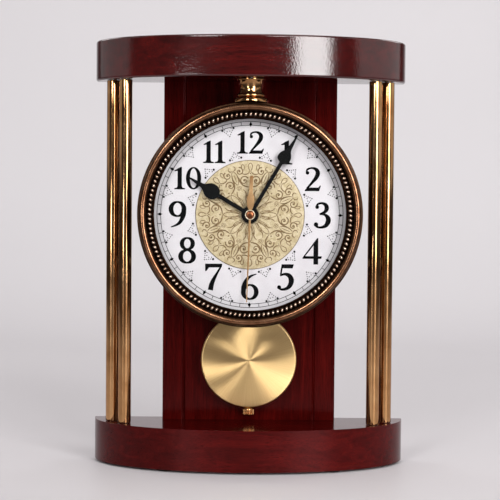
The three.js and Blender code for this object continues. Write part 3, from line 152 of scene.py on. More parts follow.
class Shader(Tree):
    """A material's node tree, with short ways to add patterns and feed the surface."""

    # Numbers of the colour sockets of a mix node, whose names repeat
    MIX_SHARE: ClassVar[int] = 0
    MIX_FIRST: ClassVar[int] = 6
    MIX_SECOND: ClassVar[int] = 7
    MIX_RESULT: ClassVar[int] = 2

    def __init__(self, name: str) -> None:
        """Starts a material with only its surface shader.

        Args:
            name: The material's name.
        """
        material = bpy.data.materials.new(name)
        material.use_nodes = True
        super().__init__(material.node_tree)
        self.surface = self.tree.nodes["Principled BSDF"]

    def set(self, **inputs: object) -> None:
        """Fills inputs of the surface shader; an underscore in a name stands for a space."""
        self.supply(self.surface, {name.replace("_", " "): value for name, value in inputs.items()})

    def place(self, scale: Sequence[float], centre: Sequence[float] = (0, 0, 0)) -> Socket:
        """Gives object coordinates in cells of a given size round a centre, both in metres."""
        cells = {"Vector": self.add("ShaderNodeTexCoord").outputs["Object"], "Location": centre,
                 "Scale": scale}
        return self.add("ShaderNodeMapping", cells, vector_type="TEXTURE").outputs["Vector"]

    def part(self, vector: Socket, axis: Axis) -> Socket:
        """Gives one coordinate of a vector."""
        return self.add("ShaderNodeSeparateXYZ", {"Vector": vector}).outputs[axis.name]

    def upright(self, vector: Socket) -> Socket:
        """Gives a vector's x and z as a flat vector."""
        sides = {"X": self.part(vector, Axis.X), "Y": self.part(vector, Axis.Z)}
        return self.add("ShaderNodeCombineXYZ", sides).outputs["Vector"]

    def noise(self, vector: Socket, detail: float, distortion: float = 0,
              roughness: float = 0.55) -> Socket:
        """Adds a noise pattern of one cell per coordinate unit and gives its value."""
        pattern = {"Vector": vector, "Scale": 1.0, "Detail": detail, "Roughness": roughness,
                   "Distortion": distortion}
        return self.add("ShaderNodeTexNoise", pattern).outputs["Fac"]

    def clouds(self, size: float, detail: float = 4, distortion: float = 0) -> Socket:
        """Adds a noise pattern whose cells have one size in metres all round."""
        return self.noise(self.place((size,) * 3), detail, distortion)

    def ramp(self, factor: Socket, stops: Sequence[tuple[float, str]], stepped: bool = False) -> Socket:
        """Turns a value into colours.

        Args:
            factor: The value, from 0 to 1.
            stops: Places and screen colours.
            stepped: True for hard changes.

        Returns:
            The colour output.
        """
        node = self.add("ShaderNodeValToRGB", {"Fac": factor})
        band = node.color_ramp
        band.interpolation = "CONSTANT" if stepped else "LINEAR"
        while len(band.elements) < len(stops):
            band.elements.new(1.0)
        for element, (position, code) in zip(band.elements, stops):
            element.position = position
            element.color = tint(code)
        return node.outputs["Color"]

    def span(self, factor: Socket, low: float, high: float, source: Point = (0.3, 0.7)) -> Socket:
        """Stretches a value from the source range to the range from low to high."""
        ends = {"Value": factor, "From Min": source[0], "From Max": source[1], "To Min": low,
                "To Max": high}
        return self.add("ShaderNodeMapRange", ends).outputs["Result"]

    def about(self, factor: Socket, middle: float, spread: float) -> Socket:
        """Stretches a pattern to values on both sides of a middle one."""
        return self.span(factor, middle - spread, middle + spread)

    def mix(self, first: Socket, second: Socket, share: Socket | float,
            blend: Blend = Blend.OVER) -> Socket:
        """Mixes two colours, with a share of the second."""
        colours = {self.MIX_SHARE: share, self.MIX_FIRST: first, self.MIX_SECOND: second}
        return self.add("ShaderNodeMix", colours, data_type="RGBA",
                        blend_type=blend.value).outputs[self.MIX_RESULT]

    def shaded(self, colour: Socket, shadow: Socket) -> Socket:
        """Darkens a colour by another."""
        return self.mix(colour, shadow, 1.0, Blend.DARKEN)

    def relief(self, height: Socket, strength: float, depth: float) -> Socket:
        """Gives a normal that is bent by a height pattern, whose depth is in metres."""
        bump = {"Height": height, "Strength": strength, "Distance": depth}
        return self.add("ShaderNodeBump", bump).outputs["Normal"]


@dataclass(frozen=True)
class Finish:
    """A finish that pieces share: its name and the slot it belongs to."""

    name: str
    slot: str

    def paint(self) -> None:
        """Makes the finish's material with its nodes."""
        raise NotImplementedError

    def material(self) -> bpy.types.Material:
        """Gives the finish's material, made on first use.

        Returns:
            The material.
        """
        if self.name not in bpy.data.materials:
            self.paint()
        return bpy.data.materials[self.name]


@dataclass(frozen=True)
class Wood(Finish):
    """Stained wood with streaked grain, bare, under a clear lacquer or under a tinted polish."""

    grain: Axis
    dark: str = "#340403"
    middle: str = "#410605"
    light: str = "#4f0b08"
    pore_shade: str = "#b4a8a8"
    cloud_shade: str = "#cfc8c8"
    lacquer: float = 1.0
    gloss: float = 1.36
    lacquer_roughness: float = 0.1
    polish: str = ""
    polish_uneven: float = 0.02
    streak: Point = (0.17, 0.007)
    pore: Point = (0.012, 0.00045)
    pore_depth: float = 0.0001
    cloud: float = 0.09
    wave: float = 0.0015
    wave_depth: float = 0.0004
    ripple: float = 0.12
    roughness: float = 0.34

    def cells(self, size: Point) -> Place:
        """Gives a cell that is long along the grain and narrow across it."""
        return tuple(size[0] if part else size[1] for part in self.grain.value)

    def paint(self) -> None:
        """Adds streaks, pores and a slightly wavy lacquer or polish."""
        shader = Shader(self.name)
        streaks = shader.noise(shader.place(self.cells(self.streak)), detail=6, distortion=1.2)
        pores = shader.noise(shader.place(self.cells(self.pore)), detail=2)
        base = shader.ramp(streaks, [(0.32, self.dark), (0.5, self.middle), (0.7, self.light)])
        depth = shader.ramp(pores, [(0.34, self.pore_shade), (0.5, "#ffffff")])
        clouds = shader.clouds(self.cloud, detail=2)
        tone = shader.ramp(clouds, [(0.3, self.cloud_shade), (0.65, "#ffffff")])
        waves = shader.relief(shader.clouds(self.wave, detail=2), self.ripple, self.wave_depth)
        shader.set(Base_Color=shader.shaded(shader.shaded(base, depth), tone))
        if self.polish:
            smooth = self.lacquer_roughness
            shader.set(IOR=self.gloss, Specular_IOR_Level=0.5, Specular_Tint=tint(self.polish),
                       Normal=waves, Roughness=shader.span(streaks, smooth, smooth + self.polish_uneven))
            return
        shader.set(Coat_Weight=self.lacquer, Coat_Roughness=self.lacquer_roughness, Coat_IOR=self.gloss,
                   Coat_Normal=waves, Specular_IOR_Level=0.0,
                   Roughness=shader.span(streaks, self.roughness - 0.05, self.roughness + 0.08),
                   Normal=shader.relief(pores, 0.12, self.pore_depth))


@dataclass(frozen=True)
class Metal(Finish):
    """Metal with faint clouding, fine wear and an even grain."""

    dark: str
    light: str
    roughness: float
    uneven: float = 0.05
    cloud: float = 0.02
    grain: Place = (0.0006, 0.0006, 0.0006)
    grain_depth: float = 0.00001

    def paint(self) -> None:
        """Adds clouded colour and roughness and a fine grain."""
        shader = Shader(self.name)
        clouds = shader.clouds(self.cloud, detail=5, distortion=0.4)
        grain = shader.noise(shader.place(self.grain), detail=3)
        shader.set(Metallic=1.0, Base_Color=shader.ramp(clouds, [(0.3, self.dark), (0.65, self.light)]),
                   Roughness=shader.about(clouds, self.roughness, self.uneven),
                   Normal=shader.relief(grain, 0.25, self.grain_depth))


@dataclass(frozen=True)
class SunrayMetal(Finish):
    """Metal brushed in rays from a centre, which spreads light round it."""

    centre: Place
    dark: str = "#cfa76c"
    light: str = "#e8cb95"
    roughness: float = 0.37
    uneven: float = 0.05
    rays: float = 120.0
    ray_depth: float = 0.00002

    def paint(self) -> None:
        """Adds streaks that depend only on the angle round the centre."""
        shader = Shader(self.name)
        flat = shader.upright(shader.place((1, 1, 1), self.centre))
        unit = shader.add("ShaderNodeVectorMath", {0: flat}, operation="NORMALIZE").outputs["Vector"]
        many = shader.add("ShaderNodeVectorMath", {0: unit, "Scale": self.rays}, operation="SCALE")
        streaks = shader.noise(many.outputs["Vector"], detail=3, roughness=0.7)
        tangent = shader.add("ShaderNodeTangent", direction_type="RADIAL", axis="Y")
        shader.set(Metallic=1.0, Anisotropic=1.0, Tangent=tangent.outputs["Tangent"],
                   Base_Color=shader.ramp(streaks, [(0.25, self.dark), (0.75, self.light)]),
                   Roughness=shader.about(streaks, self.roughness, self.uneven),
                   Normal=shader.relief(streaks, 0.06, self.ray_depth))


@dataclass(frozen=True)
class AgedCopper(Finish):
    """Copper that turns dark where the piece's own attribute asks for it: patina, and on the bezel and
    beads also painted shade.
    """

    attribute: ClassVar[str] = "patina"
    bright: str = "#b98766"
    worn: str = "#835438"
    # Dark colours of the patina, which on the bezel and beads also stand for painted shade
    grime: str = "#241209"
    dark: str = "#0c0604"
    roughness: float = 0.15
    grime_roughness: float = 0.42
    cloud: float = 0.006
    grain: float = 0.0008
    grain_depth: float = 0.00002

    def paint(self) -> None:
        """Mixes bright metal and patina, which on the bezel and beads is also painted shade, by the
        attribute and a little noise.
        """
        shader = Shader(self.name)
        clouds = shader.clouds(self.cloud, detail=5, distortion=0.5)
        metal = shader.ramp(clouds, [(0.3, self.worn), (0.62, self.bright)])
        grime = shader.ramp(clouds, [(0.3, self.dark), (0.8, self.grime)])
        # Depth of patina and of painted shade, from the piece's attribute
        depth = shader.add("ShaderNodeAttribute", attribute_name=self.attribute).outputs["Fac"]
        shader.set(Metallic=1.0, Base_Color=shader.mix(metal, grime, depth),
                   Roughness=shader.span(depth, self.roughness, self.grime_roughness, (0.0, 1.0)),
                   Normal=shader.relief(shader.clouds(self.grain, detail=3), 0.2, self.grain_depth))


@dataclass(frozen=True)
class Paint(Finish):
    """Paint, print or moulded material with a slightly uneven tone and a fine skin."""

    dark: str
    light: str
    roughness: float = 0.45
    uneven: float = 0.04
    cloud: float = 0.02
    skin: float = 0.0006
    skin_depth: float = 0.00001
    gloss: float = 0.5

    def paint(self) -> None:
        """Adds a clouded tone, uneven gloss and a fine skin."""
        shader = Shader(self.name)
        clouds = shader.clouds(self.cloud, distortion=0.3)
        skin = shader.clouds(self.skin, detail=3)
        shader.set(Specular_IOR_Level=self.gloss,
                   Base_Color=shader.ramp(clouds, [(0.3, self.dark), (0.7, self.light)]),
                   Roughness=shader.about(skin, self.roughness, self.uneven),
                   Normal=shader.relief(skin, 0.3, self.skin_depth))


@dataclass(frozen=True)
class PrintedGold(Finish):
    """Pale gold print that is darker where leaves shade it, round a centre."""

    centre: Place
    dark: str = "#c6b389"
    light: str = "#e4d4b0"
    fleck: str = "#e4e0d6"
    leaf: float = 0.0032
    grain: float = 0.0004
    grain_depth: float = 0.00001

    def paint(self) -> None:
        """Adds soft leaf-sized shading and a fine metallic grain."""
        shader = Shader(self.name)
        leaves = shader.noise(shader.place((self.leaf,) * 3, self.centre), detail=2, distortion=1.0)
        grain = shader.clouds(self.grain, detail=2)
        tone = shader.ramp(leaves, [(0.32, self.dark), (0.6, self.light)])
        fleck = shader.ramp(grain, [(0.3, self.fleck), (0.6, "#ffffff")])
        shader.set(Metallic=0.15, Base_Color=shader.shaded(tone, fleck),
                   Roughness=shader.span(grain, 0.38, 0.5),
                   Normal=shader.relief(grain, 0.2, self.grain_depth))


@dataclass(frozen=True)
class StudioPaper(Finish):
    """Pale paper round the clock and up the wall, with painted shade that greys it further out."""

    pale: str = "#cdc8ca"
    wall: str = "#dedadc"
    # Painted shade: the grey that the paper turns to outside a reach round a centre, fully at the fall-off
    fade: str = "#7d7a7b"
    centre: Place = (0.0, 0.78, 0.0)
    reach: Place = (0.9, 0.9, 1000.0)
    fall_off: float = 1.5
    wall_start: float = 0.1
    wall_stop: float = 1.3
    sheen: float = 0.6

    def paint(self) -> None:
        """Adds the change of tone towards the wall, painted shade that greys the paper further out, and an
        even sheen.
        """
        shader = Shader(self.name)
        back = shader.part(shader.place((1, 1, 1)), Axis.Y)
        share = shader.span(back, 0.0, 1.0, (self.wall_start, self.wall_stop))
        paper = shader.ramp(share, [(0.0, self.pale), (1.0, self.wall)])
        # Painted shade: the paper greys from the edge of the reach outward to the fall-off
        spot = shader.place(self.reach, self.centre)
        away = shader.add("ShaderNodeVectorMath", {0: spot}, operation="LENGTH").outputs["Value"]
        outside = shader.span(away, 0.0, 1.0, (1.0, self.fall_off))
        fade = shader.ramp(outside, [(0.0, "#ffffff"), (1.0, self.fade)])
        shader.set(Specular_IOR_Level=0.3, Base_Color=shader.shaded(paper, fade),
                   Roughness=shader.span(shader.clouds(self.sheen, detail=1), 0.43, 0.47))


@dataclass(frozen=True)
class Crystal(Finish):
    """Clear flat glass that lets light and shadow through."""

    clearness: float = 0.07
    index: float = 1.5
    smear: float = 0.03

    def paint(self) -> None:
        """Adds clear gloss with a hint of smear."""
        shader = Shader(self.name)
        smear = shader.clouds(self.smear, detail=3)
        shader.set(Alpha=self.clearness, IOR=self.index, Roughness=shader.span(smear, 0.02, 0.06),
                   Base_Color=shader.ramp(smear, [(0.3, "#0c1010"), (0.7, "#141818")]))


@dataclass(frozen=True)
class Banded(Finish):
    """A finish that changes along one axis in hard steps, such as a cell's sleeve."""

    axis: Axis
    centre: Place
    length: float
    bands: tuple[tuple[float, str], ...]
    roughness: float = 0.35
    uneven: float = 0.05
    metallic: float = 0.5
    skin: float = 0.0008
    skin_depth: float = 0.00001

    def paint(self) -> None:
        """Adds the bands and a fine skin."""
        shader = Shader(self.name)
        along = shader.part(shader.place((self.length,) * 3, self.centre), self.axis)
        share = shader.span(along, 0.0, 1.0, (-0.5, 0.5))
        skin = shader.clouds(self.skin, detail=3)
        shader.set(Metallic=self.metallic, Base_Color=shader.ramp(share, self.bands, True),
                   Roughness=shader.about(skin, self.roughness, self.uneven),
                   Normal=shader.relief(skin, 0.2, self.skin_depth))


@dataclass(frozen=True)
class Wound(Finish):
    """Fine enamelled wire laid side by side along an axis."""

    axis: Axis
    dark: str = "#6d3315"
    light: str = "#c4763f"
    wire: float = 0.0006
    wire_depth: float = 0.0001

    def paint(self) -> None:
        """Adds the wires as a wave along the axis."""
        shader = Shader(self.name)
        laid = {"Vector": shader.place((self.wire,) * 3), "Scale": 0.5, "Distortion": 0.4}
        wires = shader.add("ShaderNodeTexWave", laid, bands_direction=self.axis.name).outputs["Fac"]
        shader.set(Metallic=0.8, Base_Color=shader.ramp(wires, [(0.1, self.dark), (0.7, self.light)]),
                   Roughness=shader.span(wires, 0.45, 0.25),
                   Normal=shader.relief(wires, 0.5, self.wire_depth))


@dataclass(frozen=True)
class Circuit(Finish):
    """Green circuit board with paler tracks."""

    board: str = "#1f4a2d"
    patch: str = "#24543a"
    track: str = "#4a7d50"
    pitch: float = 0.0022
    track_width: float = 0.04
    track_depth: float = 0.00005

    def paint(self) -> None:
        """Adds tracks as a brick pattern."""
        shader = Shader(self.name)
        pattern = {"Vector": shader.upright(shader.place((self.pitch,) * 3)), "Scale": 1.0,
                   "Mortar Size": self.track_width, "Mortar": tint(self.track),
                   "Color1": tint(self.board), "Color2": tint(self.patch)}
        brick = shader.add("ShaderNodeTexBrick", pattern)
        tracks = brick.outputs["Fac"]
        shader.set(Base_Color=brick.outputs["Color"], Roughness=shader.span(tracks, 0.45, 0.3, (0.0, 1.0)),
                   Normal=shader.relief(tracks, 0.3, self.track_depth))


class Mesh:
    """A mesh being built in millimetres."""

    # Radii, areas, distances and angles in degrees too small to count
    ON_AXIS: ClassVar[float] = 1e-6
    NO_AREA: ClassVar[float] = 1e-9
    SAME_SPOT: ClassVar[float] = 1e-4
    WELD: ClassVar[float] = 1e-3
    FLAT: ClassVar[float] = 1.0

    # The kind of triangulation that keeps only what lies inside the outlines
    INSIDE: ClassVar[int] = 1

    def __init__(self) -> None:
        """Starts with no faces."""
        self.bm = bmesh.new()
        # Depth of patina at each corner, which on the bezel and beads also paints shade
        self.patina = self.bm.verts.layers.float.new(AgedCopper.attribute)

    def lathe(self, profile: Sequence[Point], axis: Axis, centre: Sequence[float], segments: int,
              patina: Sequence[float] = ()) -> None:
        """Turns a profile about an axis into a closed body.

        Args:
            profile: Radius and place along the axis; it starts and ends on the axis or closes on itself.
            axis: The axis that the profile is turned about.
            centre: A point that the axis passes through.
            segments: Steps round the axis.
            patina: Depth of patina at each profile point, which on the bezel is also painted shade.
        """
        closed = profile[0] == profile[-1]
        corners = profile[:-1] if closed else profile
        depths = patina or [0.0] * len(corners)
        rings = []
        for (radius, along), depth in zip(corners, depths):
            spokes = disc(0, 0, radius, segments if radius > self.ON_AXIS else 1)
            rings.append([self.bm.verts.new(axis.spot(along, u, v) + Vector(centre)) for u, v in spokes])
            for vertex in rings[-1]:
                vertex[self.patina] = depth
        faces = []
        for first, second in zip(rings, rings[1:] + rings[:1] if closed else rings[1:]):
            count = max(len(first), len(second))
            for i in range(count):
                j = (i + 1) % count
                around = [first[i % len(first)], first[j % len(first)],
                          second[j % len(second)], second[i % len(second)]]
                unique = list(dict.fromkeys(around))
                if len(unique) > 2:
                    faces.append(self.bm.faces.new(unique))
        bmesh.ops.recalc_face_normals(self.bm, faces=faces)

    def printed(self, outlines: Sequence[Outline], front: float, back: float, centre: Point) -> None:
        """Joins overlapping outlines in x and z into one flat body.

        Args:
            outlines: Closed outlines.
            front: The body's front along Y.
            back: Its back.
            centre: Where the outlines' origin lies.
        """
        points: list[Vector] = []
        faces: list[list[int]] = []
        for outline in outlines:
            area = sum(a[0] * b[1] - b[0] * a[1] for a, b in zip(outline, outline[1:] + outline[:1]))
            if abs(area) < self.NO_AREA:
                continue
            ordered = outline if area > 0 else outline[::-1]
            faces.append(list(range(len(points), len(points) + len(ordered))))
            points += [Vector(p) for p in ordered]
        spots, _, cells, _, _, origins = delaunay_2d_cdt(points, [], faces, self.INSIDE, self.SAME_SPOT)
        kept = [cell for cell, origin in zip(cells, origins) if origin]
        used = sorted({i for cell in kept for i in cell})
        near = {}
        far = {}
        for i in used:
            x, z = spots[i][0] + centre[0], spots[i][1] + centre[1]
            near[i] = self.bm.verts.new((x, front, z))
            far[i] = self.bm.verts.new((x, back, z))
        edges = {(cell[k], cell[(k + 1) % len(cell)]) for cell in kept for k in range(len(cell))}
        for cell in kept:
            self.bm.faces.new([near[i] for i in cell])
            self.bm.faces.new([far[i] for i in reversed(cell)])
        for a, b in sorted(edges):
            if (b, a) not in edges:
                self.bm.faces.new([near[b], near[a], far[a], far[b]])

    def flatten(self, angle: float) -> None:
        """Joins neighbouring faces that lie flat to each other within an angle in degrees."""
        bmesh.ops.dissolve_limit(self.bm, angle_limit=radians(angle), verts=self.bm.verts,
                                 edges=self.bm.edges)

    def object(self, name: str, finish: Finish, smooth: float = TURNED) -> Piece:
        """Makes an object of the mesh, in metres.

        Args:
            name: The piece's name.
            finish: Its finish.
            smooth: Edges sharper than this angle stay sharp.

        Returns:
            The object, at the origin.
        """
        mesh = bpy.data.meshes.new(name)
        self.bm.to_mesh(mesh)
        self.bm.free()
        mesh.transform(Matrix.Scale(MM, 4))
        mesh.materials.append(finish.material())
        piece = bpy.data.objects.new(name, mesh)
        bpy.context.scene.collection.objects.link(piece)
        shade(piece, smooth)
        return piece


def shade(piece: Piece, smooth: float) -> None:
    """Shades a piece smooth up to an angle in degrees."""
    piece.data.polygons.foreach_set("use_smooth", [True] * len(piece.data.polygons))
    piece.data.set_sharp_from_angle(angle=radians(smooth))


def settle(piece: Piece) -> None:
    """Turns a piece's modifiers into plain mesh.

    Args:
        piece: The piece.
    """
    graph = bpy.context.evaluated_depsgraph_get()
    mesh = bpy.data.meshes.new_from_object(piece.evaluated_get(graph))
    piece.modifiers.clear()
    old = piece.data
    piece.data = mesh
    bpy.data.meshes.remove(old)
    mesh.name = piece.name


def soften(piece: Piece, width: float, segments: int = 2) -> None:
    """Rounds a piece's sharp edges and keeps its flat faces flat to the eye.

    Args:
        piece: The piece to soften.
        width: Width of the rounding in millimetres.
        segments: Steps across it.
    """
    bevel = piece.modifiers.new("edges", "BEVEL")
    bevel.width = width * MM
    bevel.segments = segments
    bevel.limit_method = "ANGLE"
    bevel.angle_limit = radians(CRISP)
    weighted = piece.modifiers.new("flats", "WEIGHTED_NORMAL")
    weighted.keep_sharp = True
    shade(piece, SEAMLESS)
    settle(piece)


def carve(piece: Piece, cutters: Sequence[Piece]) -> None:
    """Cuts bodies out of a piece and removes them.

    Args:
        piece: The piece.
        cutters: What is cut out of it.
    """
    for cutter in cutters:
        cut = piece.modifiers.new("cut", "BOOLEAN")
        cut.operation = "DIFFERENCE"
        cut.solver = "EXACT"
        cut.object = cutter
    settle(piece)
    for cutter in cutters:
        bpy.data.objects.remove(cutter)


def install(piece: Piece, finish: Finish, *nodes: str, body: Body = Body.STAND) -> None:
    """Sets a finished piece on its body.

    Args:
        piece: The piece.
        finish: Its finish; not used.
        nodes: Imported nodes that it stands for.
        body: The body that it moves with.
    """
    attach(piece, body.value)
    if nodes:
        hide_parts(*nodes)
    LOG.info("%s: %d faces on %s", piece.name, len(piece.data.polygons), body.value)


def span_of(node: str) -> tuple[Vector, Vector, Vector]:
    """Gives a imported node's low corner, high corner and middle in millimetres."""
    low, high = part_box(node)
    return low / MM, high / MM, (low + high) / (2 * MM)


def arc(centre: Point, radius: float, start: float, stop: float, steps: int) -> Profile:
    """Gives points along an arc, with angles in degrees from the first axis."""
    angles = [radians(start + (stop - start) * i / steps) for i in range(steps + 1)]
    return [(centre[0] + radius * cos(angle), centre[1] + radius * sin(angle)) for angle in angles]


def rounded(profile: Sequence[Point], radius: float, steps: int = 3) -> Profile:
    """Rounds the inner corners of a profile with small curves.

    Args:
        profile: Corners in order; the first and last stay.
        radius: How far from each corner its curve starts.
        steps: Points along each curve.

    Returns:
        The softened profile.
    """
    # More than two, so that the curves of neighbouring corners never meet
    parting = 2.2
    points = [profile[0]]
    for before, corner, after in zip(profile, profile[1:], profile[2:]):
        here = Vector(corner)
        to_before = Vector(before) - here
        to_after = Vector(after) - here
        reach = min(radius, to_before.length / parting, to_after.length / parting)
        first = here + to_before.normalized() * reach
        last = here + to_after.normalized() * reach
        for i in range(steps + 1):
            t = i / steps
            bent = first * (1 - t) ** 2 + here * 2 * t * (1 - t) + last * t ** 2
            points.append((bent.x, bent.y))
    points.append(profile[-1])
    return points


def smooth_path(points: Sequence[Sequence[float]], closed: bool, steps: int = 8) -> list[Vector]:
    """Runs a smooth path through points.

    Args:
        points: Places with any further values, such as a width.
        closed: True where the path returns to its start.
        steps: Steps between two points.

    Returns:
        The path's points, with the further values carried along.
    """
    knots = [Vector(p) for p in points]
    count = len(knots)
    spans = count if closed else count - 1
    path = []
    for i in range(spans):
        if closed:
            a, b, c, d = (knots[(i + k) % count] for k in (-1, 0, 1, 2))
        else:
            a, b, c, d = knots[max(i - 1, 0)], knots[i], knots[i + 1], knots[min(i + 2, count - 1)]
        for k in range(steps):
            t = k / steps
            path.append(0.5 * (2 * b + (c - a) * t + (2 * a - 5 * b + 4 * c - d) * t * t
                               + (3 * b - a - 3 * c + d) * t ** 3))
    if not closed:
        path.append(knots[-1])
    return path


@dataclass(frozen=True)
class Stroke:
    """A pen stroke through points of x, y and half width."""

    points: tuple[Place, ...]
    closed: bool = False

    def outlines(self, bold: float = 1.0) -> list[Outline]:
        """Gives the stroke as short four-sided outlines, side by side.

        Args:
            bold: How many times its own width the stroke gets.

        Returns:
            The outlines.
        """
        path = smooth_path(self.points, self.closed)
        count = len(path)
        edges = []
        for i, spot in enumerate(path):
            ahead = path[(i + 1) % count] if self.closed else path[min(i + 1, count - 1)]
            behind = path[i - 1] if self.closed else path[max(i - 1, 0)]
            along = Vector((ahead.x - behind.x, ahead.y - behind.y)).normalized()
            side = Vector((-along.y, along.x)) * spot.z * bold
            edges.append(((spot.x + side.x, spot.y + side.y), (spot.x - side.x, spot.y - side.y)))
        following = edges[1:] + edges[:1] if self.closed else edges[1:]
        return [[a[0], a[1], b[1], b[0]] for a, b in zip(edges, following)]


def disc(x: float, y: float, radius: float, sides: int = 18) -> Outline:
    """Gives a round outline."""
    return [(x + radius * cos(TURN * i / sides), y + radius * sin(TURN * i / sides))
            for i in range(sides)]


def oval_stroke(x: float, y: float, across: float, upright: float, thick: float, thin: float) -> Stroke:
    """Gives a ring whose sides are thick and whose top and bottom are thin.

    Args:
        x: Its middle across.
        y: Its middle upward.
        across: Half its breadth.
        upright: Half its height.
        thick: Half width of its sides.
        thin: Half width of its top and bottom.

    Returns:
        The closed stroke.
    """
    steps = 16
    swell = 1.4
    points = []
    for i in range(steps):
        angle = TURN * i / steps
        width = thin + (thick - thin) * abs(cos(angle)) ** swell
        points.append((x + across * cos(angle), y + upright * sin(angle), width))
    return Stroke(tuple(points), True)


def oblong(left: float, right: float, bottom: float, top: float) -> Outline:
    """Gives a four-sided outline."""
    return [(left, bottom), (right, bottom), (right, top), (left, top)]


def sleeve(inner: float, outer: float, low: float, high: float) -> Profile:
    """Gives the closed profile of a tube, from the middle of its bore."""
    start = (inner, (low + high) / 2)
    return [start, (inner, low), (outer, low), (outer, high), (inner, high), start]


def turned(name: str, finish: Finish, axis: Axis, spot: Sequence[float], profile: Sequence[Point],
           segments: int, edge: float = 0.0, patina: float = 0.0) -> Piece:
    """Builds a piece that is turned about an axis.

    Args:
        name: The piece's name.
        finish: Its finish.
        axis: The axis that it is turned about.
        spot: A point on the axis.
        profile: Radius and place along the axis.
        segments: Steps round the axis.
        edge: Rounding of the profile's corners.
        patina: Depth of patina all over.

    Returns:
        The piece.
    """
    centre = [0.0 if part else value for part, value in zip(axis.value, spot)]
    corners = rounded(profile, edge) if edge else profile
    mesh = Mesh()
    mesh.lathe(corners, axis, centre, segments, [patina] * len(corners))
    return mesh.object(name, finish)


def sawn(name: str, finish: Finish, axis: Axis, outline: Outline, low: float, high: float,
         smooth: float = TURNED) -> Piece:
    """Builds a piece with the same outline all along an axis.

    Args:
        name: The piece's name.
        finish: Its finish.
        axis: The axis that it lies along.
        outline: Corners in order.
        low: Where it starts along the axis.
        high: Where it ends.
        smooth: Edges sharper than this angle stay sharp.

    Returns:
        The piece.
    """
    mesh = Mesh()
    lower, upper = [[mesh.bm.verts.new(axis.spot(along, u, v)) for u, v in outline]
                    for along in (low, high)]
    faces = [mesh.bm.faces.new(lower), mesh.bm.faces.new(upper)]
    for i, start in enumerate(lower):
        j = (i + 1) % len(lower)
        faces.append(mesh.bm.faces.new([start, lower[j], upper[j], upper[i]]))
    bmesh.ops.recalc_face_normals(mesh.bm, faces=faces)
    return mesh.object(name, finish, smooth)


def drill(finish: Finish, axis: Axis, spot: Sequence[float], radius: float, low: float, high: float,
          segments: int) -> Piece:
    """Gives a round cutter from low to high along an axis, with the finish of the faces that it leaves."""
    profile = [(0, low), (radius, low), (radius, high), (0, high)]
    return turned("drill", finish, axis, spot, profile, segments)


def softened_copy(node: str, name: str, finish: Finish, edge: float, body: Body = Body.STAND) -> None:
    """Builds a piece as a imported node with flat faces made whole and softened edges.

    Args:
        node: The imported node.
        name: The piece's name.
        finish: Its finish.
        edge: Width of the rounding in millimetres.
        body: The body that it moves with.
    """
    mesh = Mesh()
    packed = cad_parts[node].data.copy()
    packed.transform(Matrix.Scale(1 / MM, 4))
    mesh.bm.from_mesh(packed)
    bpy.data.meshes.remove(packed)
    bmesh.ops.remove_doubles(mesh.bm, verts=mesh.bm.verts, dist=mesh.WELD)
    mesh.flatten(mesh.FLAT)
    piece = mesh.object(name, finish, CRISP)
    soften(piece, edge)
    install(piece, finish, node, body=body)


class RingTree(Tree):
    """A Geometry Nodes tree that sets copies of a piece evenly round an axis."""

    def __init__(self) -> None:
        """Builds the tree: points at the centre, a turned copy at each, and all of them one mesh."""
        super().__init__(bpy.data.node_groups.new("ring_of_copies", "GeometryNodeTree"))
        kinds = {"Geometry": "Geometry", "Count": "Int", "Start Angle": "Float", "Axis": "Vector",
                 "Centre": "Vector", "Material": "Material"}
        socket = self.tree.interface.new_socket
        self.sockets = {name: socket(name, in_out="INPUT", socket_type="NodeSocket" + kind).identifier
                        for name, kind in kinds.items()}
        socket("Geometry", in_out="OUTPUT", socket_type="NodeSocketGeometry")
        source = self.add("NodeGroupInput").outputs
        away = self.add("ShaderNodeVectorMath", {0: source["Centre"], "Scale": -1.0}, operation="SCALE")
        moved = self.add("GeometryNodeTransform",
                         {"Geometry": source["Geometry"], "Translation": away.outputs["Vector"]})
        points = self.add("GeometryNodePoints", {"Count": source["Count"], "Position": source["Centre"]})
        step = self.add("ShaderNodeMath", {0: TURN, 1: source["Count"]}, operation="DIVIDE")
        index = self.add("GeometryNodeInputIndex").outputs["Index"]
        angle = self.add("ShaderNodeMath", {0: index, 1: step.outputs["Value"], 2: source["Start Angle"]},
                         operation="MULTIPLY_ADD")
        turn = self.add("FunctionNodeAxisAngleToRotation",
                        {"Axis": source["Axis"], "Angle": angle.outputs["Value"]})
        copies = self.add("GeometryNodeInstanceOnPoints", {
            "Points": points.outputs[0], "Instance": moved.outputs["Geometry"],
            "Rotation": turn.outputs["Rotation"]})
        whole = self.add("GeometryNodeRealizeInstances", {"Geometry": copies.outputs["Instances"]})
        dressed = self.add("GeometryNodeSetMaterial",
                           {"Geometry": whole.outputs["Geometry"], "Material": source["Material"]})
        self.add("NodeGroupOutput", {"Geometry": dressed.outputs["Geometry"]})

    def repeat(self, piece: Piece, count: int, axis: Axis, centre: Sequence[float], finish: Finish,
               start: float = 0.0, body: Body = Body.STAND) -> None:
        """Turns a piece into a ring of copies of itself, as plain mesh, and sets it on its body.

        Args:
            piece: The piece to copy.
            count: How many copies.
            axis: The ring's axis.
            centre: A point on the axis, in millimetres.
            finish: The copies' finish.
            start: Angle of the first copy in degrees.
            body: The body that the ring moves with.
        """
        modifier = piece.modifiers.new("ring", "NODES")
        modifier.node_group = self.tree
        values = {"Count": count, "Start Angle": radians(start), "Axis": axis.value,
                  "Centre": tuple(value * MM for value in centre), "Material": finish.material()}
        for name, value in values.items():
            modifier[self.sockets[name]] = value
        settle(piece)
        install(piece, finish, body=body)


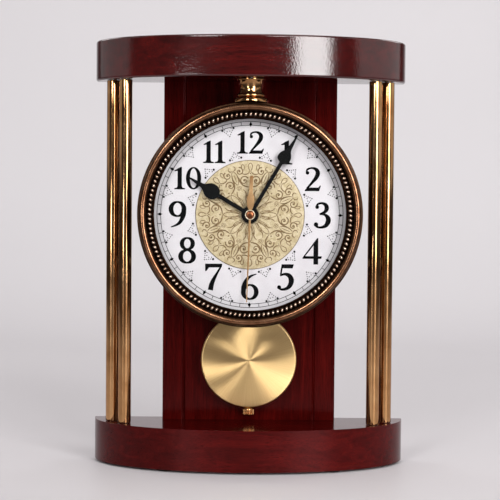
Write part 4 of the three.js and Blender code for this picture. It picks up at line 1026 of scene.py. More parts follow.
MAHOGANY_TOP = Wood("mahogany_top", "mahogany", grain=Axis.X, gloss=1.68, ripple=0.2)
MAHOGANY_BASE = Wood("mahogany_base", "mahogany", grain=Axis.X, gloss=1.38, lacquer_roughness=0.14,
                     polish="#ff9a9a")
MAHOGANY_UPRIGHT = Wood("mahogany_upright", "mahogany", grain=Axis.Z, polish="#ff9a9a")
BEECH = Wood("bare_beech", "beech", grain=Axis.Z, dark="#9c7448", middle="#b98d5c", light="#cda373",
             lacquer=0.0, roughness=0.6)
BRASS = Metal("polished_brass", "brass", dark="#9f7147", light="#c09467", roughness=0.12)
TUBE_BRASS = Metal("drawn_brass", "brass", dark="#9f7147", light="#c09467", roughness=0.12,
                   grain=(0.0006, 0.0006, 0.08))
THREAD_BRASS = Metal("machined_brass", "brass", dark="#a87b3c", light="#cfa766", roughness=0.26,
                     uneven=0.08)
STEEL = Metal("zinc_steel", "steel", dark="#85888c", light="#a9acb0", roughness=0.34, uneven=0.08,
              cloud=0.006)
COPPER = AgedCopper("aged_copper", "antique_copper")
# A paler copy of the copper for the beads, a painted highlight that makes their tips look whitish
BEAD_COPPER = AgedCopper("pale_copper_painted_highlight", "antique_copper", bright="#e2c9b4", worn="#b9957c")
HAND_COPPER = Metal("copper_hand_metal", "copper_hand", dark="#b08458", light="#d3ab7c", roughness=0.38)
CAP_COPPER = Metal("dark_copper_cap", "copper_hand", dark="#6d3f28", light="#8f5a3c", roughness=0.3)
RIM_WHITE = Metal("pale_brass_ring", "copper_hand", dark="#e6d3b0", light="#f4e8cf", roughness=0.35)
ENAMEL = Paint("white_enamel", "dial_white", dark="#dfdade", light="#ebe8eb")
INK = Paint("black_print", "black_hands", dark="#050506", light="#0c0c0e", roughness=0.7, cloud=0.004,
            gloss=0.05)
LACQUER = Paint("black_lacquer", "black_hands", dark="#040405", light="#0a0a0c", roughness=0.5, cloud=0.01,
                gloss=0.1)
BROWN_INK = Paint("brown_print", "dial_gold", dark="#715731", light="#876b43", roughness=0.5, cloud=0.004)
UMBER_INK = Paint("umber_print", "dial_gold", dark="#54442a", light="#6a5636", roughness=0.5, cloud=0.004)
RUBBER = Paint("soft_rubber", "rubber", dark="#191817", light="#272524", roughness=0.85, skin=0.0003,
               skin_depth=0.00004, gloss=0.2)
BLACK_PLASTIC = Paint("black_moulding", "black_plastic", dark="#17171a", light="#242427", roughness=0.55,
                      skin=0.0005, skin_depth=0.00005)
WHITE_PLASTIC = Paint("white_moulding", "white_plastic", dark="#dcd8cd", light="#eeebe2", roughness=0.5)
CRYSTAL = Crystal("clear_crystal", "crystal")
COIL = Wound("wound_wire", "coil_wire", axis=Axis.Z)
CIRCUIT = Circuit("tracked_circuit", "circuit_green")


@dataclass
class Plates:
    """The bow-fronted base and top, with their feet."""

    FEET: ClassVar[tuple[str, ...]] = ("back_left", "back_right", "front_left", "front_right")
    straight: float = 2.0
    edge: float = 1.8
    edge_steps: int = 4
    curve_steps: int = 160
    counterbore: float = 4.7
    counterbore_depth: float = 7.0
    bore_segments: int = 40
    foot_edge: float = 0.4
    foot_segments: int = 48
    dish_share: float = 0.6
    dish_depth: float = 0.4
    dish_slope: float = 0.5

    def plate(self, node: str, finish: Finish, cutters: Sequence[Piece]) -> None:
        """Builds one plate, a half oval seen from above, with rounded edges.

        Args:
            node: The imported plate.
            finish: Its finish.
            cutters: Bodies that are cut out of it first.
        """
        low, high, _ = span_of(node)
        middle = high.y - self.straight
        bow = middle - low.y
        outline = []
        for i in range(self.curve_steps + 1):
            angle = pi + pi * i / self.curve_steps
            outline.append((high.x * cos(angle), middle + bow * sin(angle)))
        outline += [(high.x, high.y), (low.x, high.y)]
        piece = sawn(node + "_lacquered", finish, Axis.Z, outline, low.z, high.z)
        if cutters:
            carve(piece, cutters)
        soften(piece, self.edge, self.edge_steps)
        install(piece, finish, node)

    def bolt_sinks(self) -> list[Piece]:
        """Gives cutters for the recesses of the tie bolts under the base."""
        floor = span_of("base_plate")[0].z
        return [drill(MAHOGANY_BASE, Axis.Z, span_of("column_" + name)[2], self.counterbore, floor - SPARE,
                      floor + self.counterbore_depth, self.bore_segments) for name in Columns.NAMES]

    def foot(self, node: str) -> None:
        """Builds one rubber foot with a rounded rim and a shallow dish.

        Args:
            node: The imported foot.
        """
        low, high, middle = span_of(node)
        radius = high.x - middle.x
        dish = radius * self.dish_share
        hollow = low.z + self.dish_depth
        profile = [(0, hollow), (dish, hollow), (dish + self.dish_slope, low.z), (radius, low.z),
                   (radius, high.z), (0, high.z)]
        piece = turned(node + "_rubber", RUBBER, Axis.Z, middle, profile, self.foot_segments,
                       self.foot_edge)
        install(piece, RUBBER, node)

    def build(self) -> None:
        """Builds base, top and feet."""
        self.plate("base_plate", MAHOGANY_BASE, self.bolt_sinks())
        self.plate("top_plate", MAHOGANY_TOP, ())
        for name in self.FEET:
            self.foot("foot_" + name)


@dataclass
class Columns:
    """The four brass tubes and the bolts that run through them."""

    NAMES: ClassVar[tuple[str, ...]] = ("left_outer", "left_inner", "right_outer", "right_inner")
    wall: float = 1.0
    edge: float = 0.35
    segments: int = 64
    bolt_head: float = 5.0
    bolt_edge: float = 0.5
    bolt_segments: int = 40
    shank_share: float = 0.6
    socket_radius: float = 2.4
    socket_depth: float = 2.5
    socket_sides: int = 6

    def tube(self, node: str) -> None:
        """Builds one tube with softened ends.

        Args:
            node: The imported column.
        """
        low, high, middle = span_of(node)
        outer = high.x - middle.x
        profile = sleeve(outer - self.wall, outer, low.z, high.z)
        piece = turned(node + "_tube", TUBE_BRASS, Axis.Z, middle, profile, self.segments, self.edge)
        install(piece, TUBE_BRASS, node)

    def bolt(self, node: str) -> None:
        """Builds one tie bolt with a six-sided socket in its head.

        Args:
            node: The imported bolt.
        """
        low, high, middle = span_of(node)
        head = high.x - middle.x
        shank = head * self.shank_share
        neck = low.z + self.bolt_head
        profile = [(0, low.z), (head, low.z), (head, neck), (shank, neck), (shank, high.z), (0, high.z)]
        piece = turned(node + "_steel", STEEL, Axis.Z, middle, profile, self.bolt_segments, self.bolt_edge)
        hexagon = disc(middle.x, middle.y, self.socket_radius, self.socket_sides)
        carve(piece, [sawn("socket", STEEL, Axis.Z, hexagon, low.z - SPARE, low.z + self.socket_depth)])
        shade(piece, CRISP)
        install(piece, STEEL, node)

    def build(self) -> None:
        """Builds tubes and bolts."""
        for name in self.NAMES:
            self.tube("column_" + name)
            self.bolt("tie_bolt_" + name)


@dataclass
class Backboard:
    """The grooved board, and the posts and screws that carry the head on it."""

    CORNERS: ClassVar[tuple[str, ...]] = ("upper_left", "upper_right", "lower_left", "lower_right")
    housing: float = 0.8
    groove_inset: float = 16.5
    groove_width: float = 2.4
    groove_depth: float = 1.4
    window_half_width: float = 38.0
    window_above: float = 38.0
    window_below: float = 46.0
    window_spare: float = 5.0
    sink_radius: float = 3.9
    sink_depth: float = 3.0
    edge: float = 0.6
    segments: int = 40
    post_end: float = 2.0
    post_neck: float = 0.6
    post_edge: float = 0.35
    screw_head: float = 2.4
    screw_rim: float = 0.9
    screw_edge: float = 0.3
    crown_share: float = 0.7
    crown_drop: float = 0.2
    slot_share: float = 0.62
    slot_width: float = 1.0
    slot_depth: float = 1.0

    def board(self) -> None:
        """Builds the board with its grooves, service window and screw recesses."""
        low, high, _ = span_of("backboard")
        half = self.groove_width / 2
        front = []
        for side in (-1, 1):
            x = side * (high.x - self.groove_inset)
            front += [(x - half, low.y), (x, low.y + self.groove_depth), (x + half, low.y)]
        outline = [(low.x, low.y), *front, (high.x, low.y), (high.x, high.y), (low.x, high.y)]
        piece = sawn("backboard_lacquered", MAHOGANY_UPRIGHT, Axis.Z, outline, low.z - self.housing,
                     high.z + self.housing)
        dial = span_of("dial")[2]
        opening = oblong(-self.window_half_width, self.window_half_width, dial.z - self.window_below,
                         dial.z + self.window_above)
        window = sawn("window", MAHOGANY_UPRIGHT, Axis.Y, opening, low.y - self.window_spare,
                      high.y + self.window_spare)
        recesses = [drill(MAHOGANY_UPRIGHT, Axis.Y, span_of("post_screw_" + name)[2], self.sink_radius,
                          high.y - self.sink_depth, high.y + SPARE, self.segments) for name in self.CORNERS]
        carve(piece, [window, *recesses])
        soften(piece, self.edge)
        install(piece, MAHOGANY_UPRIGHT, "backboard")

    def post(self, node: str) -> None:
        """Builds one post with a waist between its ends.

        Args:
            node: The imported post.
        """
        low, high, middle = span_of(node)
        radius = high.x - middle.x
        waist = radius - self.post_neck
        end = self.post_end
        slope = end + self.post_neck
        profile = [(0, low.y), (radius, low.y), (radius, low.y + end), (waist, low.y + slope),
                   (waist, high.y - slope), (radius, high.y - end), (radius, high.y), (0, high.y)]
        piece = turned(node + "_steel", STEEL, Axis.Y, middle, profile, self.segments, self.post_edge)
        install(piece, STEEL, node)

    def screw(self, node: str) -> None:
        """Builds one screw with a cross-slotted head at the back.

        Args:
            node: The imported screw.
        """
        low, high, middle = span_of(node)
        head = high.x - middle.x
        shank = head / 2
        neck = high.y - self.screw_head
        profile = [(0, low.y), (shank, low.y), (shank, neck), (head, neck), (head, high.y - self.screw_rim),
                   (head * self.crown_share, high.y - self.crown_drop), (0, high.y)]
        piece = turned(node + "_steel", STEEL, Axis.Y, middle, profile, self.segments, self.screw_edge)
        arm, half = head * self.slot_share, self.slot_width / 2
        bars = []
        for across, upright in ((arm, half), (half, arm)):
            outline = oblong(middle.x - across, middle.x + across, middle.z - upright, middle.z + upright)
            bars.append(sawn("slot", STEEL, Axis.Y, outline, high.y - self.slot_depth, high.y + SPARE))
        carve(piece, bars)
        shade(piece, CRISP)
        install(piece, STEEL, node)

    def build(self) -> None:
        """Builds board, posts and screws."""
        self.board()
        for name in self.CORNERS:
            self.post("head_post_" + name)
            self.screw("post_screw_" + name)


@dataclass
class Head:
    """The drum, the beaded bezel, the crystal and the spool above."""

    ring: RingTree
    wall: float = 1.2
    play: float = 0.3
    flange: float = 1.5
    flange_overlap: float = 1.1
    drum_edge: float = 0.7
    drum_patina: float = 0.92
    roll: float = 2.6
    groove: float = 0.8
    groove_depth: float = 4.2
    bead: float = 1.75
    bead_depth: float = 3.6
    bead_count: int = 132
    bead_breadth: float = 1.2
    bead_slant: float = 24.0
    bead_steps: int = 6
    bead_sides: int = 10
    # Patina on each bead from its front to its back, also painted light: a painted highlight in front,
    # painted shade behind
    bead_patina: float = 1.25
    bead_fade: float = 1.2
    seat_share: float = 0.82
    seat_sink: float = 0.6
    lip_overlap: float = 2.2
    lip_thickness: float = 0.9
    lip_round: float = 0.45
    lip_rise: float = 0.25
    crystal_edge: float = 0.35
    spool_segments: int = 72
    spool_sharp: float = 42.0
    saddle_depth: float = 2.0
    saddle_segments: int = 256
    segments: int = 192

    def drum(self) -> None:
        """Builds the drum, darker on its rim and back."""
        low, high, middle = span_of("head_drum")
        radius = high.x - middle.x
        hole = span_of("centre_bush")[1].x + self.play
        opening = span_of("crystal")[1].x - self.flange_overlap
        inner = radius - self.wall
        profile = [(hole, high.y), (radius, high.y), (radius, low.y), (opening, low.y),
                   (opening, low.y + self.flange), (inner, low.y + self.flange),
                   (inner, high.y - self.wall), (hole, high.y - self.wall), (hole, high.y)]
        piece = turned("head_drum_copper", COPPER, Axis.Y, middle, profile, self.segments, self.drum_edge,
                       self.drum_patina)
        install(piece, COPPER, "head_drum")

    def bezel(self) -> None:
        """Builds the bezel's rings and the beads on it."""
        low, high, middle = span_of("bezel")
        rim = high.x - middle.x
        crystal_low, crystal_high, _ = span_of("crystal")
        rabbet = crystal_high.x + self.play
        floor = crystal_low.y - self.play
        lip = crystal_high.x - self.lip_overlap
        lip_front = floor - self.lip_thickness
        roll_ring = rim - self.roll
        roll_spot = (roll_ring, low.y + self.roll)
        outer = roll_ring - self.roll
        inner = outer - self.groove
        trough = low.y + self.groove_depth
        seat = inner - self.bead
        seat_y = low.y + self.bead_depth
        bend = self.lip_round
        # Stretches of the profile from the back round the front to the lip, each with its depth of patina,
        # which is also painted shade: darkest on the back, the roll's flanks and the lip, lightest on the
        # roll's front crest
        stretches: list[tuple[Profile, float]] = [
            ([(rabbet, high.y), (rim, high.y)], 1.0),
            (arc(roll_spot, self.roll, 0, -30, 4), 0.95),
            (arc(roll_spot, self.roll, -40, -60, 4), 0.75),
            (arc(roll_spot, self.roll, -68, -118, 8), 0.35),
            (arc(roll_spot, self.roll, -126, -150, 4), 0.8),
            (arc(roll_spot, self.roll, -160, -180, 3), 1.0),
            ([(outer, trough), (inner, trough)], 1.0),
            (arc((seat, seat_y + self.seat_sink), self.bead * self.seat_share, 20, -200, 14), 1.0),
            ([(lip + 2 * bend, lip_front - self.lip_rise)], 1.0),
            (arc((lip + bend, lip_front + bend), bend, -90, -180, 4), 1.0),
            ([(lip, floor), (rabbet, floor), (rabbet, high.y)], 1.0),
        ]
        profile = [point for points, _ in stretches for point in points]
        depths = [depth for points, depth in stretches for _ in points]
        mesh = Mesh()
        mesh.lathe(profile, Axis.Y, (0, 0, middle.z), self.segments, depths[:-1])
        install(mesh.object("bezel_copper", COPPER), COPPER, "bezel")
        self.beads((0, seat_y, middle.z), seat)

    def beads(self, centre: Place, ring_radius: float) -> None:
        """Builds the ring of slanted beads, bright in front as a painted highlight and dark behind as
        patina and painted shade.

        Args:
            centre: The ring's middle.
            ring_radius: Radius through the beads' middles.
        """
        ball = arc((0, 0), 1.0, -90, 90, self.bead_steps)
        ball[0], ball[-1] = (0, -1), (0, 1)
        mesh = Mesh()
        mesh.lathe(ball, Axis.Z, (0, 0, 0), self.bead_sides)
        # Painted highlight on each bead's front, patina and painted shade behind it
        for vertex in mesh.bm.verts:
            vertex[mesh.patina] = min(1.0, max(0.0, self.bead_patina + self.bead_fade * vertex.co.y))
        slant = Matrix.Rotation(radians(self.bead_slant), 4, "Y")
        shape = Matrix.Diagonal((self.bead_breadth, self.bead, self.bead, 1))
        place = Matrix.Translation((centre[0], centre[1], centre[2] + ring_radius))
        bmesh.ops.transform(mesh.bm, matrix=place @ slant @ shape, verts=mesh.bm.verts)
        piece = mesh.object("bezel_beads", BEAD_COPPER, SEAMLESS)
        self.ring.repeat(piece, self.bead_count, Axis.Y, centre, BEAD_COPPER)

    def crystal(self) -> None:
        """Builds the crystal with softened edges."""
        low, high, middle = span_of("crystal")
        radius = high.x - middle.x
        profile = [(0, low.y), (radius, low.y), (radius, high.y), (0, high.y)]
        piece = turned("crystal_glass", CRYSTAL, Axis.Y, middle, profile, self.segments, self.crystal_edge)
        install(piece, CRYSTAL, "crystal")

    def spool(self) -> None:
        """Builds the turned spool with its hollows, ring and saddle."""
        _, high, middle = span_of("spool")
        _, drum_high, drum_middle = span_of("head_drum")
        seat = drum_high.z + self.play
        foot = seat - self.saddle_depth
        flange = high.x - middle.x
        # Radius and height of the flange, the ring, the neck and the cap
        profile = [(0, foot), (flange, foot), (flange, seat + 1.6), (flange - 0.7, seat + 2.4),
                   (10.2, seat + 3.1), *arc((9.4, seat + 4.4), 1.45, -70, 75, 8), (9.2, seat + 6.0),
                   (8.6, seat + 7.4), (8.35, seat + 9.6), (8.7, seat + 12.2), (9.5, high.z - 1.9),
                   (10.3, high.z - 1.3), (10.5, high.z - 0.9), (10.5, high.z - 0.2), (10.3, high.z),
                   (0, high.z)]
        piece = turned("spool_brass", BRASS, Axis.Z, middle, profile, self.spool_segments)
        reach = flange + self.saddle_depth
        carve(piece, [drill(BRASS, Axis.Y, drum_middle, seat - drum_middle.z, middle.y - reach,
                            middle.y + reach, self.saddle_segments)])
        shade(piece, self.spool_sharp)
        install(piece, BRASS, "spool")

    def build(self) -> None:
        """Builds drum, bezel, crystal and spool."""
        self.drum()
        self.bezel()
        self.crystal()
        self.spool()


@dataclass(frozen=True)
class Glyph:
    """One figure of the dial in a box one unit high: strokes, filled shapes and round ends."""

    width: float
    strokes: tuple[Stroke, ...] = ()
    shapes: tuple[tuple[Point, ...], ...] = ()
    balls: tuple[Place, ...] = ()

    def outlines(self, inverted: bool) -> list[Outline]:
        """Gives the figure's outlines with its box's middle at the origin.

        Args:
            inverted: True for the figure turned half round.

        Returns:
            Overlapping outlines.
        """
        pieces = [outline for stroke in self.strokes for outline in stroke.outlines()]
        pieces += [list(shape) for shape in self.shapes]
        pieces += [disc(x, y, r) for x, y, r in self.balls]
        sign = -1 if inverted else 1
        return [[(sign * (x - self.width / 2), sign * (y - 0.5)) for x, y in piece] for piece in pieces]


FIGURES: dict[str, Glyph] = {
    "0": Glyph(0.68, (oval_stroke(0.34, 0.5, 0.25, 0.465, 0.088, 0.032),)),
    "1": Glyph(
        0.48, (),
        (((0.145, 0.02), (0.335, 0.02), (0.335, 1.0), (0.30, 1.0), (0.145, 0.93)),
         ((0.0, 0.835), (0.30, 1.0), (0.335, 0.90), (0.145, 0.815), (0.03, 0.80)),
         ((0.0, 0.0), (0.48, 0.0), (0.48, 0.05), (0.37, 0.075), (0.335, 0.15), (0.145, 0.15),
          (0.11, 0.075), (0.0, 0.05)))),
    "2": Glyph(
        0.68,
        (Stroke(((0.075, 0.77, 0.03), (0.11, 0.90, 0.04), (0.29, 0.962, 0.04), (0.47, 0.905, 0.072),
                 (0.545, 0.76, 0.095), (0.48, 0.57, 0.085), (0.30, 0.34, 0.055), (0.09, 0.10, 0.04))),),
        (((0.0, 0.0), (0.61, 0.0), (0.68, 0.235), (0.64, 0.235), (0.565, 0.15), (0.13, 0.15),
          (0.02, 0.06)),),
        ((0.115, 0.76, 0.075),)),
    "3": Glyph(
        0.64,
        (Stroke(((0.10, 0.82, 0.035), (0.15, 0.915, 0.04), (0.29, 0.96, 0.042), (0.44, 0.90, 0.07),
                 (0.49, 0.77, 0.085), (0.42, 0.63, 0.06), (0.22, 0.54, 0.03))),
         Stroke(((0.22, 0.54, 0.03), (0.40, 0.53, 0.045), (0.525, 0.43, 0.08), (0.55, 0.28, 0.095),
                 (0.46, 0.115, 0.075), (0.28, 0.042, 0.045), (0.12, 0.07, 0.04), (0.07, 0.15, 0.04)))),
        (), ((0.13, 0.81, 0.072), (0.09, 0.15, 0.085))),
    "4": Glyph(
        0.74, (),
        (((0.42, 0.0), (0.60, 0.0), (0.60, 1.0), (0.56, 1.0), (0.42, 0.80)),
         ((0.0, 0.25), (0.06, 0.25), (0.60, 0.955), (0.60, 1.0), (0.555, 1.0)),
         ((0.0, 0.215), (0.72, 0.215), (0.74, 0.315), (0.05, 0.315)))),
    "5": Glyph(
        0.66,
        (Stroke(((0.205, 0.95, 0.032), (0.17, 0.75, 0.032), (0.145, 0.56, 0.032))),
         Stroke(((0.13, 0.565, 0.03), (0.29, 0.625, 0.05), (0.46, 0.575, 0.08), (0.55, 0.40, 0.10),
                 (0.50, 0.20, 0.085), (0.36, 0.075, 0.06), (0.18, 0.045, 0.045), (0.07, 0.11, 0.04)))),
        (((0.175, 1.0), (0.64, 1.0), (0.60, 0.845), (0.175, 0.845)),), ((0.09, 0.125, 0.078),)),
    "6": Glyph(
        0.68,
        (Stroke(((0.115, 0.30, 0.09), (0.13, 0.52, 0.09), (0.23, 0.76, 0.07), (0.38, 0.90, 0.045),
                 (0.60, 0.985, 0.018))),
         oval_stroke(0.355, 0.305, 0.245, 0.265, 0.09, 0.036))),
    "7": Glyph(
        0.68,
        (Stroke(((0.625, 0.90, 0.028), (0.45, 0.60, 0.05), (0.29, 0.28, 0.085), (0.225, 0.0, 0.10))),),
        (((0.02, 1.0), (0.67, 1.0), (0.66, 0.90), (0.60, 0.86), (0.17, 0.855), (0.07, 0.72),
          (0.02, 0.72)),)),
    "8": Glyph(
        0.68,
        (oval_stroke(0.34, 0.755, 0.205, 0.21, 0.082, 0.036),
         oval_stroke(0.335, 0.27, 0.245, 0.235, 0.092, 0.036))),
}


@dataclass
class Dial:
    """The white dial and everything printed on it, with the bush and nut in its middle."""

    HOURS: ClassVar[int] = 12
    MINUTES: ClassVar[int] = 60
    ring: RingTree
    sheet_edge: float = 0.2
    disc_edge: float = 0.1
    print_height: float = 0.06
    print_sink: float = 0.03
    track_outer: float = 69.9
    track_inner: float = 67.1
    line: float = 0.42
    mark_half: float = 1.15
    mark_tail: float = 1.2
    mark_shoulder: float = 0.6
    numeral_ring: float = 54.2
    pair_height: float = 16.9
    low_height: float = 18.0
    tall_height: float = 19.9
    digit_gap: float = 0.035
    outer_ornament: float = 66.0
    outer_rise: float = -5.4
    inner_ornament: float = 43.2
    inner_rise: float = 4.8
    ornament_half: float = 4.3
    small_dots: tuple[Point, ...] = ((3.0, 0.25), (2.0, 0.5), (1.0, 0.75), (2.5, -0.06), (1.0, 0.28))
    dot: float = 0.42
    point_dot: float = 0.504
    end_dot: float = 0.85
    dot_sides: int = 8
    end_sides: int = 12
    eye_sides: int = 10
    sectors: int = 8
    pen: float = 1.3
    scroll_steps: int = 14
    scroll_share: float = 0.86
    scroll_thinning: float = 0.45
    inner_eye: Point = (4.6, 25.6)
    outer_eye: Point = (8.3, 32.4)
    flower: float = 21.4
    flower_ring: float = 1.25
    flower_petals: int = 5
    edge_line: float = 0.4
    hub_line: float = 0.3
    hub_ring: float = 6.9
    play: float = 0.3
    bush_bore: float = 2.75
    hub_edge: float = 0.25
    hub_segments: int = 48
    segments: int = 160

    def __post_init__(self) -> None:
        """Reads the dial's place from the frame."""
        low, _, middle = span_of("dial")
        self.front = low.y
        self.centre = (middle.x, 0.0, middle.z)
        self.middle = (middle.x, middle.z)
        self.disc_front = span_of("dial_centre_disc")[0].y

    def sheet(self, node: str, name: str, finish: Finish, edge: float) -> None:
        """Builds a flat round sheet with a hole for the bush.

        Args:
            node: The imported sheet.
            name: The new piece's name.
            finish: Its finish.
            edge: Rounding of its edges.
        """
        low, high, middle = span_of(node)
        hole = span_of("centre_bush")[1].x + self.play
        profile = sleeve(hole, high.x - middle.x, low.y, high.y)
        piece = turned(name, finish, Axis.Y, self.centre, profile, self.segments, edge)
        install(piece, finish, node)

    def hoops(self, name: str, finish: Finish, face: float, circles: Sequence[Point]) -> None:
        """Builds thin printed circles.

        Args:
            name: The piece's name.
            finish: Its finish.
            face: The face that it is printed on.
            circles: Radius and line width of each.
        """
        near, far = face - self.print_height, face + self.print_sink
        mesh = Mesh()
        for radius, width in circles:
            section = oblong(radius - width / 2, radius + width / 2, near, far)
            mesh.lathe(section + section[:1], Axis.Y, self.centre, self.segments)
        install(mesh.object(name, finish, CRISP), finish)

    def stamp(self, name: str, finish: Finish, outlines: list[Outline], face: float, count: int,
              start: float = 0.0) -> None:
        """Prints outlines on a face and repeats them round the dial's centre.

        Args:
            name: The piece's name.
            finish: Its finish.
            outlines: What is printed, as it lies at the top.
            face: The face that it is printed on.
            count: How many times it stands round the centre.
            start: Angle of the first one in degrees.
        """
        mesh = Mesh()
        mesh.printed(outlines, face - self.print_height, face + self.print_sink, self.middle)
        piece = mesh.object(name, finish, CRISP)
        self.ring.repeat(piece, count, Axis.Y, self.centre, finish, start)

    def track(self) -> None:
        """Builds the minute track: two circles, sixty bars and twelve hour marks."""
        inner, outer = self.track_inner, self.track_outer
        self.hoops("minute_track_circles", INK, self.front, [(outer, self.line), (inner, self.line)])
        half = self.line / 2
        self.stamp("minute_track_bars", INK, [oblong(-half, half, inner, outer)], self.front, self.MINUTES)
        shoulder = inner + self.mark_shoulder
        mark = [(0, inner - self.mark_tail), (self.mark_half, shoulder), (0, outer),
                (-self.mark_half, shoulder)]
        self.stamp("hour_marks", INK, [mark], self.front, self.HOURS)

    def numeral(self, hour: int) -> list[Outline]:
        """Gives the outlines of one hour's number, upright, round the dial's centre.

        Args:
            hour: The hour from 1 to 12.

        Returns:
            Outlines in millimetres.
        """
        text = str(hour)
        height = self.pair_height if len(text) > 1 else self.low_height if hour < 3 else self.tall_height
        glyphs = [FIGURES["6" if digit == "9" else digit] for digit in text]
        total = sum(glyph.width for glyph in glyphs) + self.digit_gap * (len(text) - 1)
        angle = TURN * hour / self.HOURS
        x, z = self.numeral_ring * sin(angle), self.numeral_ring * cos(angle)
        left = -total / 2
        outlines = []
        for digit, glyph in zip(text, glyphs):
            shift = left + glyph.width / 2
            for outline in glyph.outlines(digit == "9"):
                outlines.append([(x + height * (px + shift), z + height * pz) for px, pz in outline])
            left += glyph.width + self.digit_gap
        return outlines

    def numerals(self) -> None:
        """Builds the twelve numbers."""
        mesh = Mesh()
        near, far = self.front - self.print_height, self.front + self.print_sink
        for hour in range(1, self.HOURS + 1):
            mesh.printed(self.numeral(hour), near, far, self.middle)
        install(mesh.object("dial_numbers", INK, CRISP), INK)

    def dotted(self, name: str, base: float, rise: float) -> None:
        """Builds twelve dotted ornaments between the hours.

        Args:
            name: The piece's name.
            base: Radius of the two large dots.
            rise: How far the point lies from them, outward where positive.
        """
        dots = [disc(0, base + rise, self.point_dot, self.dot_sides)]
        for side in (-1, 1):
            dots.append(disc(side * self.ornament_half, base, self.end_dot, self.end_sides))
            for across, share in self.small_dots:
                dots.append(disc(side * across, base + rise * share, self.dot, self.dot_sides))
        self.stamp(name, INK, dots, self.front, self.HOURS, 180 / self.HOURS)

    def pair(self, *points: Place) -> list[Stroke]:
        """Gives a line and its mirror image, through points of x, z and half width."""
        return [Stroke(tuple((side * x, z, half) for x, z, half in points)) for side in (-1, 1)]

    def petal(self, angle: float, start: float, stop: float, half: float, width: float) -> list[Stroke]:
        """Gives the two curved lines of a petal that points away from the centre.

        Args:
            angle: Its direction in degrees clockwise from the top.
            start: Radius where it begins.
            stop: Radius of its tip.
            half: Half its greatest breadth.
            width: Half width of its lines.

        Returns:
            Its two lines.
        """
        turn = radians(angle)
        lines = []
        for side in (-1, 1):
            line = []
            for share, bulge in ((0.0, 0.25), (0.3, 0.75), (0.62, 1.0), (0.85, 0.65), (1.0, 0.0)):
                radius = start + (stop - start) * share
                across = side * half * bulge
                line.append((radius * sin(turn) + across * cos(turn),
                             radius * cos(turn) - across * sin(turn), width))
            lines.append(Stroke(tuple(line)))
        return lines

    def scroll(self, x: float, z: float, size: float, start: float, turns: float, width: float) -> Stroke:
        """Gives a spiral that winds in to an eye.

        Args:
            x: The eye's place across the sector.
            z: The eye's place outward.
            size: Radius where the spiral starts.
            start: Its first angle in degrees.
            turns: Turns to the eye, negative for the other way.
            width: Half width of the line where it starts.

        Returns:
            The spiral's line.
        """
        points = []
        for i in range(self.scroll_steps + 1):
            share = i / self.scroll_steps
            angle = radians(start) + TURN * turns * share
            radius = size * (1 - self.scroll_share * share)
            points.append((x + radius * cos(angle), z + radius * sin(angle),
                           width * (1 - self.scroll_thinning * share)))
        return Stroke(tuple(points))

    def sector(self) -> list[Stroke]:
        """Gives the lines of one sector of scrollwork.

        Returns:
            Its lines.
        """
        strokes = self.petal(0, 8.0, 20.5, 1.8, 0.2) + self.petal(0, 33.0, 38.8, 1.6, 0.22)
        for side in (-1, 1):
            strokes += self.petal(side * 11.25, 7.6, 15.5, 1.0, 0.17)
            strokes += self.petal(side * 9.0, 33.8, 38.2, 1.1, 0.2)
            x, z = self.inner_eye
            strokes.append(self.scroll(side * x, z, 3.5, 90 + side * 60, side * -1.35, 0.36))
            x, z = self.outer_eye
            strokes.append(self.scroll(side * x, z, 3.1, 90 - side * 10, side * 1.3, 0.36))
        strokes += self.pair((0.5, 20.8, 0.15), (2.2, 21.0, 0.32), (5.0, 21.9, 0.4), (7.4, 24.2, 0.34),
                             (8.6, 27.2, 0.25), (9.9, 28.6, 0.12))
        strokes += self.pair((0.3, 32.6, 0.14), (2.0, 30.8, 0.3), (4.4, 30.3, 0.32), (6.2, 31.0, 0.16))
        strokes += self.pair((1.4, 9.0, 0.1), (2.6, 13.0, 0.24), (3.2, 16.5, 0.3), (5.2, 19.0, 0.14))
        return strokes

    def rosette(self) -> list[Stroke]:
        """Gives the small flower between two sectors and the leaves that rise over it.

        Returns:
            Their lines.
        """
        strokes = [Stroke(((0.0, 25.8, 0.1), (0.0, 29.0, 0.22), (0.0, 32.6, 0.1)))]
        for i in range(self.flower_petals):
            angle = TURN * i / self.flower_petals
            x, z = self.flower_ring * sin(angle), self.flower + self.flower_ring * cos(angle)
            strokes.append(oval_stroke(x, z, 0.62, 0.62, 0.1, 0.1))
        strokes += self.pair((0.2, 24.0, 0.14), (1.7, 26.6, 0.28), (2.1, 30.0, 0.3), (1.3, 33.2, 0.22),
                             (0.1, 34.8, 0.12))
        strokes += self.pair((0.4, 35.0, 0.12), (1.9, 35.2, 0.3), (2.7, 36.8, 0.26), (1.6, 38.2, 0.12))
        return strokes

    def inked(self, strokes: list[Stroke]) -> list[Outline]:
        """Gives the outlines of lines drawn with the scrollwork's pen."""
        return [outline for stroke in strokes for outline in stroke.outlines(self.pen)]

    def scrollwork(self) -> None:
        """Builds the brown scrollwork on the centre disc, and the disc's dark edge lines."""
        face = self.disc_front
        self.stamp("centre_scrolls", BROWN_INK, self.inked(self.sector()), face, self.sectors)
        # Eyes on the sector's middle line, then those of its scrolls, each with its radius
        eyes = [disc(0, z, radius, self.eye_sides) for z, radius in ((22.6, 0.6), (30.9, 0.5))]
        for (x, z), radius in ((self.inner_eye, 0.75), (self.outer_eye, 0.7)):
            eyes += [disc(side * x, z, radius, self.eye_sides) for side in (-1, 1)]
        self.stamp("centre_eyes", BROWN_INK, eyes, face, self.sectors)
        self.stamp("centre_rosettes", BROWN_INK, self.inked(self.rosette()), face, self.sectors,
                   180 / self.sectors)
        rim = span_of("dial_centre_disc")[1].x - self.edge_line / 2
        self.hoops("centre_disc_line", UMBER_INK, face,
                   [(rim, self.edge_line), (self.hub_ring, self.hub_line)])

